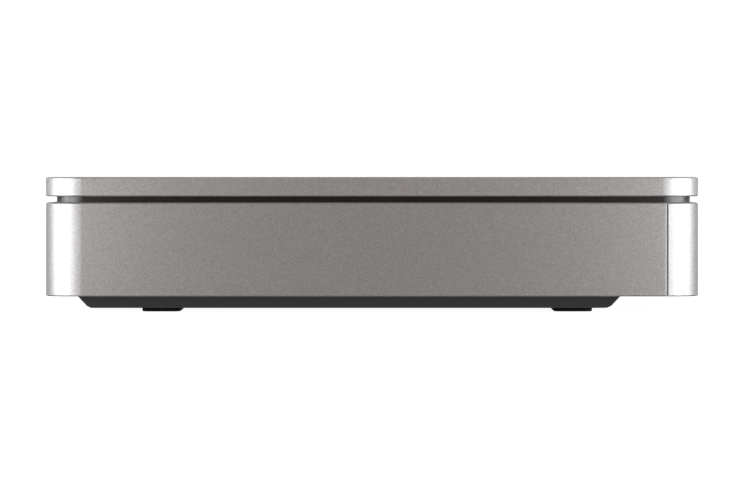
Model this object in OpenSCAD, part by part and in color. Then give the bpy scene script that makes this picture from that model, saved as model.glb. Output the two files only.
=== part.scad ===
// Low square mini computer. A silver body with its own front bezel, a flat silver lid that
// floats over a dark recessed ring, a dark set-back base on rubber feet, and its works inside.
// The origin is the middle of the footprint on the desk, +Z is up and the front faces -Y.

/* [Case] */
// Width of the case, side to side
case_w = 195; // [190:1:230]
// Depth of the case, front to back
case_d = 193; // [186:0.5:220]
// Radius of the case's upright corners
corner_r = 11; // [9:0.5:14]
// Height of the body's sides
body_h = 27.6; // [27:0.2:36]
// Height of the dark gap between body and lid
gap_h = 1.8; // [1.2:0.1:3]
// Height of the lid's rim
lid_h = 5.7; // [5:0.1:8]
// Thickness of the body's walls
wall = 2; // [1.6:0.1:2.3]
// Thickness of the body's floor
floor_t = 1.6; // [1.2:0.1:2.4]
// Thickness of the lid's top
lid_t = 1.5; // [1.2:0.1:2]
// Thickness of the lid's rim
lid_rim = 1.8; // [1.2:0.1:2]
// Bevel along the top edges of body and lid
top_bevel = 0.4; // [0.2:0.05:0.6]
// Bevel along the bottom edges of body and lid
bottom_bevel = 0.3; // [0.2:0.05:0.6]
// Depth of the front bezel, from the front face back to its seam
bezel_d = 9.7; // [6:0.05:10.5]
// Open width of the bezel's seam
seam_gap = 0.12; // [0.1:0.02:0.5]
// Width of the bevelled groove along the seam
seam_groove = 0.8; // [0.4:0.1:1.4]

/* [Recessed ring] */
// Set-back of the ring at the sides
ring_side_in = 2.8; // [2.6:0.1:4]
// Set-back of the ring at the front
ring_front_in = 2.4; // [2.4:0.1:4]
// Set-back of the ring at the rear
ring_rear_in = 3.2; // [2.6:0.1:4]
// Thickness of the ring's upright wall
ring_t = 1.6; // [1.2:0.1:2]
// Thickness of the ring's flange, let into the body
flange_t = 1.5; // [1:0.1:2]
// Thickness of the ledge that carries the flange
ledge_t = 1.2; // [0.8:0.1:1.5]
// Width of the ledge that carries the flange
ledge_w = 3.5; // [3:0.1:5]

/* [Base and feet] */
// Height of the base under the body
base_h = 3.7; // [3.4:0.1:6]
// Set-back of the base at the front
base_front_in = 22.4; // [16:0.2:30]
// Set-back of the base at the rear
base_rear_in = 9; // [6:0.5:12]
// Set-back of the base at the sides
base_side_in = 8.5; // [6:0.5:12]
// Run of the base's sloping sides
base_slope = 3.5; // [2:0.1:3.8]
// Plan radius of the base's front corners
base_front_r = 8; // [5:0.5:14]
// Plan radius of the base's rear corners
base_rear_r = 5; // [4.8:0.1:8]
// Rounding along the base's lower edge
base_edge = 0.6; // [0.3:0.1:0.9]
// Thickness of the base's bottom plate
base_floor = 1.5; // [1.2:0.1:2]
// Thickness of the base's rim inside the slope
base_rim = 1.8; // [1.2:0.1:3]
// Height that the feet stand below the base
foot_h = 1.2; // [0.8:0.1:2.5]
// Length of a foot, side to side
foot_l = 25; // [16:1:32]
// Width of a foot, front to back
foot_w = 11.5; // [8:0.5:14]
// Depth of a foot's pocket in the base
foot_pocket = 0.5; // [0.3:0.1:0.8]

/* [Circuit board] */
// Height of the standoffs under the circuit board
standoff_h = 3.9; // [3.5:0.1:4.4]
// Thickness of the circuit board
board_t = 1.6; // [1.2:0.1:2]
// Space between the board's side edges and the walls
board_side_gap = 3; // [2.5:0.1:5]
// Side of the square processor package
cpu_side = 37; // [30:1:42]
// Width of a memory module
memory_w = 67.6; // [60:0.1:70]
// Depth of a memory module
memory_d = 30; // [26:0.5:31]
// Length of the solid-state drive card
ssd_l = 80; // [60:1:80]
// Length of the radio card
radio_l = 30; // [26:1:32]
// Radius of the coin cell
cell_r = 10; // [8:0.5:10]

/* [Cooling] */
// Radius of the fan's impeller
impeller_r = 27; // [23:0.5:29]
// Number of impeller blades
blade_count = 29; // [19:2:31]
// Sweep of a blade from root to tip, in degrees
blade_sweep = 34; // [20:1:45]
// Thickness of a blade
blade_t = 0.8; // [0.6:0.05:1]
// Radius of the fan's hub
hub_r = 10.5; // [10:0.1:12]
// Radius of the fan's shaft
shaft_r = 1; // [0.8:0.05:1.2]
// Running clearance round the shaft
shaft_fit = 0.05; // [0.03:0.01:0.08]
// Height of the fan's housing
fan_h = 11; // [10:0.2:13]
// Width of the fan's outlet and of the fins behind it
outlet_w = 56; // [48:1:58]
// Depth of the fins along the air flow
fin_d = 17; // [15.5:0.5:22]
// Spacing of the fins
fin_pitch = 2; // [1.6:0.1:3]
// Width of a flattened heat pipe
pipe_w = 8; // [6:0.5:8.5]
// Thickness of a flattened heat pipe
pipe_t = 3; // [2:0.25:3.5]
// Radius of the heat pipes' bends
pipe_bend = 10; // [8:0.5:12]
// Width of the slots in the exhaust and intake grilles
slot_w = 2.2; // [1.5:0.1:2.6]
// Spacing of the slots in the exhaust and intake grilles
slot_pitch = 4; // [3.4:0.1:6]

/* [Front controls] */
// Radius of the power button
button_r = 5; // [4:0.1:5.5]
// Travel of the power button
button_travel = 0.5; // [0.3:0.05:0.8]
// Clearance round the power button
button_gap = 0.3; // [0.25:0.05:0.5]
// Radius of the status light pipe
light_r = 1; // [0.7:0.1:1.3]
// Distance of the power button from the board's right edge
button_in = 20; // [16:0.5:30]
// Distance of the status light from the power button
light_step = 13; // [10:0.5:18]

/* [Sockets] */
// Depth of the sockets' mouths behind the case's outside
mouth_in = 1.1; // [0.6:0.1:1.6]
// Clearance round each socket in its cut-out
socket_gap = 0.3; // [0.15:0.05:0.5]
// Distance of the first front socket from the board's left edge
front_row_in = 26.5; // [24:0.5:32]
// Radius of the headphone jack's bore
jack_r = 1.8; // [1.75:0.01:1.9]

/* [Hidden] */
$fn = 48;

// Levels from the desk up
base_z = foot_h;
body_z = base_z + base_h;
body_top = body_z + body_h;
lid_z = body_top + gap_h;
lid_under = lid_z + lid_h - lid_t;
floor_top = body_z + floor_t;
flange_z = body_top - flange_t;
ledge_z = flange_z - ledge_t;
board_z = floor_top + standoff_h;
board_top = board_z + board_t;

// Planes of the case
front_y = -case_d / 2;
rear_y = case_d / 2;
seam_y = front_y + bezel_d;
seam_x = case_w / 2 - corner_r + sqrt(pow(corner_r, 2) - pow(max(corner_r - bezel_d, 0), 2));
inner_w = case_w - 2 * wall;
inner_d = case_d - 2 * wall;
inner_r = corner_r - wall;
part_gap = 0.15;
join = 0.5;
past = 1;

// Rear wall: the opening, the socket plate and the exhaust grille behind it
plate_t = 1.1;
plate_y = rear_y - wall - plate_t;
plate_lap = 2;
plate_w = case_w - 2 * corner_r - 2 * part_gap;
plate_low = floor_top + part_gap;
plate_high = ledge_z - part_gap;
opening_w = plate_w - 2 * plate_lap;
opening_low = plate_low + plate_lap;
opening_high = plate_high - 1;

// Base outline and feet
base_w = case_w - 2 * base_side_in;
base_front = front_y + base_front_in;
base_rear = rear_y - base_rear_in;
base_d = base_rear - base_front;
base_y = (base_front + base_rear) / 2;
foot_side_in = 6.5;
foot_front_in = 5;
foot_rear_in = 15.5;
foot_x = base_w / 2 - base_slope - foot_side_in - foot_l / 2;
foot_front_y = base_front + base_slope + foot_front_in + foot_w / 2;
foot_rear_y = base_rear - base_slope - foot_rear_in - foot_w / 2;
foot_round = 3;
foot_bevel = 0.25;
base_screw_x = 40;
base_screw_in = 11.5;
base_screw_ys = [base_front + base_screw_in, base_rear - base_screw_in];

// Screws: shank and head sizes shared by every screw
shank_r = 1.2;
head_r = 2.4;
head_h = 1.3;
hole_r = shank_r + 0.1;
head_gap = 0.2;
head_sunk = 0.3;

// Lid screws stand in the corner webs of the ring
lid_screw_in = 11;
lid_screw_x = case_w / 2 - lid_screw_in;
lid_screw_y = case_d / 2 - lid_screw_in;
web_t = 1.7;
web_half = 6.5;
lid_boss_r = 3.2;

// Circuit board
board_left = -inner_w / 2 + board_side_gap;
board_right = -board_left;
board_rear = plate_y - 0.4;
board_front = front_y + wall + 3.75;
board_r = inner_r - 1;

// Fan, set into the board's right rear corner, with its fins against the exhaust grille
fan_wall = 1.5;
fan_floor = 1.2;
scroll_r = impeller_r + 3.5;
fan_outer_r = scroll_r + fan_wall;
fan_post_h = 1.5;
fan_z = floor_top + fan_post_h;
fan_top = fan_z + fan_h;
fan_cover_t = 0.8;
pipe_z = fan_top + fan_cover_t + 0.2;
fin_rear = plate_y - 1.6;
fin_front = fin_rear - fin_d;
ear_r = 3.5;
ear_t = 2;
ear_out = 2.6;
fan_side_gap = 3;
fan_x = inner_w / 2 - fan_side_gap - ear_r - ear_out - fan_wall - outlet_w / 2;
outlet_len = scroll_r + 5;
fin_gap = 0.2;
fan_y = fin_front - fin_gap - outlet_len;
fin_t = 0.4;
fin_bar = 0.8;
fin_z = fan_z + 0.5;
fan_gap = 1.5;
cut_x = fan_x - fan_outer_r - fan_gap;
cut_y = fan_y - fan_outer_r - fan_gap;
blade_z = fan_z + fan_floor + 0.8;
blade_top = fan_top - 0.8;
cup_z = blade_z + 0.6;
hub_wall = 1.2;
hub_top_t = 1;
magnet_t = 0.6;
magnet_gap = 1;
spider_r = hub_r + 1;
sleeve_r = shaft_r + shaft_fit + 1.3;
sleeve_top = blade_top - hub_top_t - 1.5;
stator_r = hub_r - hub_wall - magnet_t - 0.4;
intake_r = impeller_r - 2;
ear_reach = fan_outer_r + ear_out;
fan_ears = [
    [-ear_reach * cos(45), -ear_reach * sin(45)],
    [ear_reach * cos(45), -ear_reach * sin(45)],
    [outlet_w / 2 + fan_wall + ear_out, outlet_len / 2]
];

// Sockets: places of their mouths, outside sizes and depths
front_mouth = front_y + mouth_in;
rear_mouth = rear_y - mouth_in;
usb_a = [13.1, 5.7];
usb_c = [8.9, 3.2];
hdmi = [15, 5.6];
dport = [16.2, 5];
stack = [14.4, 15.4];
rj45 = [16, 13.4];
inlet = [14, 8];
usb_a_depth = 14;
usb_c_depth = 9;
video_depth = 12;
stack_depth = 17;
rj45_depth = 21;
inlet_depth = 13;

// Sockets: walls, depths of their rooms, and the shapes in their mouths
tongue_in = 1.2;
inlet_wall = 1.4;
inlet_room = 9;
inlet_blade = [6.4, 1.4];
video_wall = 0.5;
video_room = 9;
video_tongue_t = 1;
hdmi_slope = 1.9;
hdmi_side_z = 2.2;
hdmi_tongue_w = 11.2;
hdmi_tongue_z = 2.6;
dport_cut = 1.8;
dport_tongue_w = 12.4;
dport_tongue_x = -6.4;
dport_tongue_z = 2.2;
stack_room = 11;
stack_mouth = [12.4, 5];
stack_tongue = [10.6, 1.6];
stack_tongue_up = 0.9;
rj45_room = 13;
plug_mouth = [11.8, 8.2];
plug_z = 3.6;
latch_mouth = [6.4, 3];
latch_z = 1.2;
wire_bar = [9.2, 1.4];
wire_bar_z = 10.6;
wire_bar_depth = 3;
usb_a_wall = 0.4;
usb_a_room = 10.5;
usb_a_tongue = [10.6, 1.7];
usb_a_tongue_up = 0.2;
usb_c_wall = 0.3;
usb_c_room = 6.5;
usb_c_tongue = [6.7, 0.7];

// Headphone jack: its body, its round nose and its depth
jack_body = [7, 6];
jack_nose_r = 3;
jack_nose = 3;
jack_back = 1.2;
jack_depth = 14;
jack_z = board_top + jack_body[1] / 2;

// Front row: steps along it from the first socket
usb_a_step = 20;
usb_c_step = 37;
jack_step = 51;
front_steps = [0, usb_a_step, usb_c_step, jack_step];
front_xs = [for (step = front_steps) board_left + front_row_in + step];

// Rear sockets share the space between the rear opening's left edge and the heat pipes
pipe_up_x = cut_x + part_gap;
rear_left = -opening_w / 2;
rear_right = pipe_up_x - pipe_w / 2;
rear_widths = [inlet[0], hdmi[0], dport[0], stack[0], rj45[0]];
rear_gap = (rear_right - rear_left - total(rear_widths, 4)) / 6;
rear_xs = [for (i = [0 : 4]) rear_left + (i + 1) * rear_gap + total(rear_widths, i) - rear_widths[i] / 2];
lock_slot = [7, 3];
lock_z = board_top + inlet[1] + 4.5;
plate_split = cut_x + 1;
panel_split = (rear_xs[0] + inlet[0] / 2 + rear_xs[1] - hdmi[0] / 2) / 2;

// Sum of a list up to and with one of its items
function total(list, last) = last < 0 ? 0 : list[last] + total(list, last - 1);

// Inductors along the processor's front edge
inductor_side = 6.8;
inductor_h = 3.4;
inductor_pitch = 8.5;
inductor_gap = 0.6;

// Other chips on the board: sides, heights and places
hub_chip = 18;
hub_chip_x = 17;
clock_chip = 8;
clock_chip_x = 2;
sound_chip = 7;
sound_chip_x = 13.5;
sound_chip_in = 11.5;
control_chip = 10;
control_chip_x = 22;
control_chip_in = 15;
chip_h = 1.2;
low_chip_h = 1;

// Memory modules lie flat behind the front sockets, one behind the other
memory_t = 1;
socket_bar = 6;
socket_h = 4;
socket_end = 3;
slot_gap = 0.05;
memory_lift = 2;
memory_in = 4;
memory_front = front_mouth + usb_a_depth + 2;
memory_step = memory_d + socket_bar;
memory_ys = [memory_front, memory_front + memory_step];
memory_rear = memory_front + 2 * memory_step - 1;

// Plug-in cards: the drive beside the memory, the radio card at the left rear
card_w = 22;
card_t = 0.8;
card_lift = 2.2;
card_in = 4;
card_post_r = 2.5;
card_back = 3;
memory_span = memory_w + 2 * socket_end;
ssd_span = card_back + ssd_l + card_post_r;
row_gap = (board_right - board_left - memory_span - ssd_span) / 3;
memory_x = board_left + row_gap + memory_span / 2;
ssd_x = board_left + 2 * row_gap + memory_span + card_back;
ssd_y = board_front + 28 + card_w / 2;
radio_x = board_left + 4.5;

// Coin cell, radio card and capacitors share the space between the memory and the power inlet
cell_h = 3.2;
cell_holder_r = cell_r + 1.8;
holder_floor = 0.8;
cell_fit = 0.2;
cell_edge = 0.3;
cell_step = 1.2;
cell_step_h = 0.4;
cap_r = 3.15;
cap_h = 5.8;
cap_foot = 6.8;
cap_pitch = 10;
cap_foot_h = 0.8;
left_space = rear_mouth - inlet_depth - memory_rear;
left_gap = (left_space - 2 * cell_holder_r - card_w - cap_foot) / 4;
cell_x = board_left + 17.5;
cell_y = memory_rear + left_gap + cell_holder_r;
radio_y = cell_y + cell_holder_r + left_gap + card_w / 2;
cap_x = board_left + 14;
cap_y = radio_y + card_w / 2 + left_gap + cap_foot / 2;

// Processor, its cold plate and the two heat pipes to the fins
cpu_x = (radio_x + radio_l + card_back + cut_x) / 2;
cpu_y = (memory_rear + rear_mouth - rj45_depth) / 2;
cpu_base_t = 1.2;
cpu_die_t = 0.8;
cpu_top = board_top + cpu_base_t + cpu_die_t;
plate_x = 52;
plate_d = 34;
pedestal = 30;
pedestal_h = 2;
arm_t = 2;
arm_w = 7;
arm_reach = cpu_side / 2 + 6;
pipe_step = pipe_w + 1;
pipe_y = cpu_y - pipe_step / 2;
pipe_fin_y = fin_front + pipe_w / 2 - 0.2;

// Standoffs under the circuit board
standoff_r = 3;
standoff_in = 6.5;
standoff_front = 8;
standoffs = [
    [board_left + standoff_in, board_front + standoff_front],
    [board_right - standoff_in, board_front + standoff_front],
    [board_left + standoff_in, cap_y],
    [cut_x - 5, board_rear - 28],
    [board_right - standoff_in, cut_y - 10],
    [cut_x - 18, cut_y - 18]
];

// Power button and the switch behind it
button_x = board_right - button_in;
button_z = board_top + 3.5;
button_sunk = 0.2;
button_flange = 1.2;
button_flange_t = 1;
button_back = front_y + wall + button_gap + button_flange_t;
plunger_r = 1.4;
switch_front = board_front + 1.5;
switch_d = 6;
switch_w = 7;
switch_h = 6;
plunger_in = 1.1;
guide_wall = 1;
guide_back = 0.9;
light_x = button_x - light_step;
light_back = board_front + 3;
led_h = 0.8;
led_side = 2;

// Colours
silver = "#928d8a";
dark_ring = "#1c1b1b";
dark_base = "#3a3838";
black = "#151515";
steel = "#b9bbbd";
board_green = "#16352b";
copper = "#b5714a";

// Rectangle with round corners, in the middle of the plane
module rounded_rect(w, d, r) {
    square([w - 2 * r, d], center = true);
    square([w, d - 2 * r], center = true);
    for (sx = [-1, 1], sy = [-1, 1])
        translate([sx * (w / 2 - r), sy * (d / 2 - r)]) circle(r);
}

// Slot with half-round ends, upright in the plane
module slot_shape(w, h) {
    square([w, h - w], center = true);
    for (s = [-1, 1]) translate([0, s * (h - w) / 2]) circle(w / 2);
}

// Slab with round upright corners and bevels round its bottom and top edges
module bevelled_slab(w, d, r, h, low, high) {
    for (sx = [-1, 1], sy = [-1, 1])
        translate([sx * (w / 2 - r), sy * (d / 2 - r), 0])
            rotate_extrude()
                polygon([[0, 0], [r - low, 0], [r, low], [r, h - high], [r - high, h], [0, h]]);
    rotate([90, 0, 0]) linear_extrude(d - 2 * r, center = true) bevelled_section(w / 2, h, low, high);
    rotate([90, 0, 90]) linear_extrude(w - 2 * r, center = true) bevelled_section(d / 2, h, low, high);
}

// Section of a slab with bevelled edges
module bevelled_section(half, h, low, high) {
    polygon([
        [low - half, 0], [half - low, 0], [half, low], [half, h - high],
        [half - high, h], [high - half, h], [-half, h - high], [-half, low]
    ]);
}

// Carries an upright section along +Y, from y to y + length
module along_y(y, length) {
    translate([0, y + length, 0]) rotate([90, 0, 0]) linear_extrude(length) children();
}

// Screw with its head's underside at the origin and its shank going down
module screw(length, head = head_h) {
    translate([0, 0, -length]) cylinder(r = shank_r, h = length + head / 2);
    difference() {
        cylinder(r = head_r, h = head);
        translate([0, 0, head / 2]) cylinder(r = shank_r, h = head, $fn = 6);
    }
}

// Places its children at the four lid screws
module at_lid_screws() {
    for (sx = [-1, 1], sy = [-1, 1]) translate([sx * lid_screw_x, sy * lid_screw_y, 0]) children();
}

// Places its children at the four base screws
module at_base_screws() {
    for (sx = [-1, 1], y = base_screw_ys) translate([sx * base_screw_x, y, 0]) children();
}

// Outline of the recessed ring, shrunk by the given amount
module ring_outline(shrink) {
    w = case_w - 2 * ring_side_in - 2 * shrink;
    d = case_d - ring_front_in - ring_rear_in - 2 * shrink;
    translate([0, (ring_front_in - ring_rear_in) / 2])
        rounded_rect(w, d, corner_r - ring_side_in - shrink);
}

// Lid: a shallow metal pan
module top_lid() {
    color(silver) difference() {
        translate([0, 0, lid_z])
            bevelled_slab(case_w, case_d, corner_r, lid_h, bottom_bevel, top_bevel);
        translate([0, 0, lid_z - past]) linear_extrude(lid_under - lid_z + past)
            rounded_rect(case_w - 2 * lid_rim, case_d - 2 * lid_rim, corner_r - lid_rim);
    }
}

// Bosses bonded under the lid, which stand on the ring's corner webs and take the lid's screws
module lid_bosses() {
    boss_z = lid_z + web_t;
    color(steel) at_lid_screws() translate([0, 0, boss_z]) linear_extrude(lid_under - boss_z) difference() {
        circle(lid_boss_r);
        circle(hole_r);
    }
}

// Screws that hold the lid, driven up through the ring's corner webs
module lid_screws() {
    color(steel) at_lid_screws() translate([0, 0, lid_z]) mirror([0, 0, 1])
        screw(lid_under - lid_z - 0.4);
}

// Dark ring: a flange let into the body, an upright wall under the lid, and four corner webs
module vent_frame() {
    color(dark_ring) {
        translate([0, 0, flange_z]) linear_extrude(flange_t) difference() {
            rounded_rect(inner_w - 2 * part_gap, inner_d - 2 * part_gap, inner_r - part_gap);
            rounded_rect(inner_w - 2 * ledge_w, inner_d - 2 * ledge_w, inner_r - ledge_w);
        }
        translate([0, 0, flange_z]) linear_extrude(lid_under - flange_z) difference() {
            ring_outline(0);
            ring_outline(ring_t);
        }
        translate([0, 0, lid_z]) linear_extrude(web_t) difference() {
            intersection() {
                ring_outline(ring_t / 2);
                for (sx = [-1, 1], sy = [-1, 1]) scale([sx, sy])
                    translate([lid_screw_x - web_half, lid_screw_y - web_half])
                        square(2 * web_half + lid_screw_in);
            }
            for (sx = [-1, 1], sy = [-1, 1])
                translate([sx * lid_screw_x, sy * lid_screw_y]) circle(hole_r);
        }
    }
}

// Body block that the shell and the bezel are both cut from
module body_block() {
    translate([0, 0, body_z]) bevelled_slab(case_w, case_d, corner_r, body_h, bottom_bevel, top_bevel);
}

// Room inside the body, with the ledge that carries the ring's flange
module body_room() {
    translate([0, 0, floor_top]) linear_extrude(ledge_z - floor_top)
        rounded_rect(inner_w, inner_d, inner_r);
    translate([0, 0, ledge_z - past]) linear_extrude(body_top - ledge_z + 2 * past)
        rounded_rect(inner_w - 2 * ledge_w, inner_d - 2 * ledge_w, inner_r - ledge_w);
    translate([0, 0, flange_z]) linear_extrude(flange_t + past)
        rounded_rect(inner_w, inner_d, inner_r);
}

// Bevelled groove down both sides at the bezel's seam
module seam_grooves() {
    for (sx = [-1, 1])
        translate([sx * seam_x, seam_y, body_z + body_h / 2]) rotate(45)
            cube([seam_groove / sqrt(2), seam_groove / sqrt(2), body_h + 2 * past], center = true);
}

// Body shell: floor, side walls and rear wall, with the posts for the fan
module main_shell() {
    color(silver) difference() {
        union() {
            difference() {
                body_block();
                body_room();
            }
            for (ear = fan_ears)
                translate([fan_x + ear[0], fan_y + ear[1], floor_top - join])
                    cylinder(r = ear_r, h = fan_post_h + join);
        }
        translate([-case_w, front_y - past, 0])
            cube([2 * case_w, bezel_d + past + seam_gap / 2, body_top + past]);
        seam_grooves();
        translate([-opening_w / 2, rear_y - wall - past, opening_low])
            cube([opening_w, wall + 2 * past, opening_high - opening_low]);
        translate([fan_x, fan_y, body_z - past]) cylinder(r = intake_r, h = floor_t + 2 * past);
        for (ear = fan_ears)
            translate([fan_x + ear[0], fan_y + ear[1], floor_top - 0.8])
                cylinder(r = hole_r, h = fan_post_h + 2);
        at_base_screws() translate([0, 0, body_z - past]) cylinder(r = hole_r, h = floor_t + 2 * past);
    }
}

// Front bezel: the body's front cap, wrapped round both corners, with tongues behind the seam
module front_bezel() {
    tongue_low = floor_top + 2;
    tongue_h = ledge_z - tongue_low - 2;
    tongue_x = inner_w / 2 - 0.5;
    tongue_t = 1.4;
    color(silver) {
        difference() {
            body_block();
            body_room();
            translate([-case_w, seam_y - seam_gap / 2, 0]) cube([2 * case_w, case_d, body_top + past]);
            seam_grooves();
            for (x = [front_xs[0], front_xs[1]]) front_cut() translate([x, board_top + usb_a[1] / 2])
                square([usb_a[0] + 2 * socket_gap, usb_a[1] + 2 * socket_gap], center = true);
            front_cut() translate([front_xs[2], board_top + usb_c[1] / 2]) rotate(90)
                slot_shape(usb_c[1] + 2 * socket_gap, usb_c[0] + 2 * socket_gap);
            front_cut() translate([front_xs[3], jack_z]) circle(jack_nose_r + socket_gap);
            front_cut() translate([button_x, button_z]) circle(button_r + button_gap);
            front_cut() translate([light_x, button_z]) circle(light_r + 0.1);
        }
        for (sx = [-1, 1]) {
            translate([sx * (tongue_x - tongue_t / 2), seam_y, tongue_low + tongue_h / 2])
                cube([tongue_t, 6, tongue_h], center = true);
            translate([sx * (tongue_x - tongue_t / 2 + join), seam_y - 2.2, tongue_low + tongue_h / 2])
                cube([tongue_t + 2 * join, 1.6, tongue_h], center = true);
        }
    }
}

// Cut through the bezel's front wall
module front_cut() {
    along_y(front_y - past, wall + 2 * past) children();
}

// Cut through the rear socket plate
module rear_cut() {
    along_y(plate_y - past, plate_t + 2 * past) children();
}

// Pressed steel panel behind the rear opening, cut out for the power inlet and the lock slot
module power_panel() {
    color("#2b2c2e") difference() {
        translate([-plate_w / 2, plate_y, plate_low])
            cube([panel_split + plate_w / 2, plate_t, plate_high - plate_low]);
        rear_window(rear_xs[0], inlet);
        rear_cut() translate([rear_xs[0], lock_z]) square(lock_slot, center = true);
    }
}

// Pressed steel plate beside the power panel, cut out for the other sockets
module rear_io_plate() {
    color("#2b2c2e") difference() {
        translate([panel_split + part_gap, plate_y, plate_low])
            cube([plate_split - panel_split - 2 * part_gap, plate_t, plate_high - plate_low]);
        rear_window(rear_xs[1], hdmi);
        rear_window(rear_xs[2], dport);
        rear_window(rear_xs[3], stack);
        rear_window(rear_xs[4], rj45);
    }
}

// Window in the rear plate for a socket that stands on the board
module rear_window(x, size) {
    rear_cut() translate([x, board_top + size[1] / 2])
        square([size[0] + 2 * socket_gap, size[1] + 2 * socket_gap], center = true);
}

// Pressed steel exhaust grille behind the fins
module exhaust_grille() {
    span = opening_w / 2 - plate_split - 4;
    count = floor(span / slot_pitch);
    middle = (plate_split + opening_w / 2) / 2;
    slot_z = (opening_low + opening_high) / 2;
    slot_h = opening_high - opening_low - 3;
    color("#2b2c2e") difference() {
        translate([plate_split, plate_y, plate_low])
            cube([plate_w / 2 - plate_split, plate_t, plate_high - plate_low]);
        for (i = [0 : count - 1])
            rear_cut() translate([middle + (i - (count - 1) / 2) * slot_pitch, slot_z])
                slot_shape(slot_w, slot_h);
    }
}

// Base block: sloping sides over a blunt lower edge, wide corners in front and tight ones behind
module base_block(w, d, h) {
    edge_in = base_slope * (1 - base_edge / h);
    low_in = base_slope + base_edge;
    for (sx = [-1, 1]) {
        translate([sx * (w / 2 - base_front_r), base_front_r - d / 2, 0])
            base_corner(base_front_r, low_in, edge_in, h);
        translate([sx * (w / 2 - base_rear_r), d / 2 - base_rear_r, 0])
            base_corner(base_rear_r, low_in, edge_in, h);
    }
    along_y(base_front_r - d / 2, d - base_front_r - base_rear_r) polygon([
        [low_in - w / 2, 0], [w / 2 - low_in, 0], [w / 2 - edge_in, base_edge],
        [w / 2, h], [-w / 2, h], [edge_in - w / 2, base_edge]
    ]);
    rotate([90, 0, 90]) linear_extrude(w - 2 * base_front_r, center = true)
        polygon([[low_in - d / 2, 0], [0, 0], [0, h], [-d / 2, h], [edge_in - d / 2, base_edge]]);
    rotate([90, 0, 90]) linear_extrude(w - 2 * base_rear_r, center = true)
        polygon([[0, 0], [d / 2 - low_in, 0], [d / 2 - edge_in, base_edge], [d / 2, h], [0, h]]);
}

// Corner of the base block: a cone over the shallow cone of its lower edge
module base_corner(r, low_in, edge_in, h) {
    cylinder(r1 = r - low_in, r2 = r - edge_in, h = base_edge);
    translate([0, 0, base_edge]) cylinder(r1 = r - edge_in, r2 = r, h = h - base_edge);
}

// Moulded base tray with a round intake grille under the fan, screw bosses and foot pockets
module base_cover() {
    room_in = base_slope + base_rim;
    grille_r = impeller_r - 10;
    rows = floor(grille_r / slot_pitch);
    color(dark_base) difference() {
        union() {
            difference() {
                translate([0, base_y, base_z]) base_block(base_w, base_d, base_h);
                translate([0, base_y, base_z + base_floor]) linear_extrude(base_h)
                    rounded_rect(base_w - 2 * room_in, base_d - 2 * room_in, base_rear_r);
            }
            at_base_screws() translate([0, 0, base_z + join]) cylinder(r = head_r + 1.6, h = base_h - join);
        }
        for (i = [-rows : rows])
            translate([fan_x, fan_y + i * slot_pitch, base_z - past]) rotate(90)
                linear_extrude(base_floor + 2 * past)
                    slot_shape(slot_w, 2 * sqrt(pow(grille_r, 2) - pow(i * slot_pitch, 2)) + slot_w);
        at_feet() translate([0, 0, base_z - past]) linear_extrude(past + foot_pocket)
            rounded_rect(foot_l + 2 * part_gap, foot_w + 2 * part_gap, foot_round + part_gap);
        at_base_screws() {
            translate([0, 0, base_z - past]) cylinder(r = hole_r, h = base_h + 2 * past);
            translate([0, 0, base_z - past]) cylinder(r = head_r + head_gap, h = past + head_h + head_sunk);
        }
    }
}

// Screws that hold the base to the body's floor
module base_screws() {
    color(steel) at_base_screws() translate([0, 0, base_z + head_h + head_sunk]) mirror([0, 0, 1])
        screw(floor_top - base_z - head_h - head_sunk);
}

// Places its children at the four feet
module at_feet() {
    for (sx = [-1, 1], y = [foot_front_y, foot_rear_y]) translate([sx * foot_x, y, 0]) children();
}

// Rubber feet, let into their pockets
module rubber_feet() {
    color(black) at_feet()
        bevelled_slab(foot_l, foot_w, foot_round, foot_h + foot_pocket, foot_bevel, foot_bevel / 2);
}

// Round power button with its retaining flange
module power_button() {
    front = front_y + button_sunk;
    color(silver) translate([button_x, front, button_z]) rotate([-90, 0, 0]) rotate_extrude()
        polygon([
            [0, 0], [button_r - 0.3, 0], [button_r, 0.3], [button_r, wall + button_gap - button_sunk],
            [button_r + button_flange, wall + button_gap - button_sunk],
            [button_r + button_flange, button_back - front], [0, button_back - front]
        ]);
}

// Cup behind the bezel that guides the button, with a hole for the plunger
module button_guide() {
    room_r = button_r + button_flange + button_gap;
    room_d = button_flange_t + button_travel + 2 * button_gap;
    color(black) translate([button_x, front_y + wall, button_z]) rotate([-90, 0, 0]) difference() {
        cylinder(r = room_r + guide_wall, h = room_d + guide_back);
        translate([0, 0, -past]) cylinder(r = room_r, h = room_d + past);
        cylinder(r = plunger_r + button_gap, h = room_d + guide_back + past);
    }
}

// Plunger between the button and its switch
module switch_plunger() {
    color("#d8d5cc") translate([button_x, button_back, button_z]) rotate([-90, 0, 0])
        cylinder(r = plunger_r, h = switch_front + plunger_in - button_back);
}

// Small switch on the board that the plunger works
module power_switch() {
    color(black) difference() {
        translate([button_x - switch_w / 2, switch_front, board_top]) cube([switch_w, switch_d, switch_h]);
        translate([button_x, switch_front - past, button_z]) rotate([-90, 0, 0])
            cylinder(r = plunger_r + 0.3, h = past + plunger_in + button_travel + 0.4);
    }
}

// Clear light pipe from the light on the board to the bezel
module status_light_pipe() {
    color("#dfe8ee") difference() {
        union() {
            translate([light_x, front_y + button_sunk, button_z]) rotate([-90, 0, 0])
                cylinder(r = light_r, h = light_back + light_r - front_y - button_sunk);
            translate([light_x, light_back, board_top + led_h])
                cylinder(r = light_r, h = button_z - board_top - led_h);
        }
        translate([light_x - 2, light_back, button_z]) rotate([45, 0, 0]) translate([0, 0, light_r * 0.6])
            cube([4, 6, 4]);
    }
}

// Brass standoffs between the floor and the board
module board_standoffs() {
    color("#b79a55") for (p = standoffs) translate([p[0], p[1], floor_top]) difference() {
        cylinder(r = standoff_r, h = standoff_h);
        translate([0, 0, 0.6]) cylinder(r = hole_r, h = standoff_h);
    }
}

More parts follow.
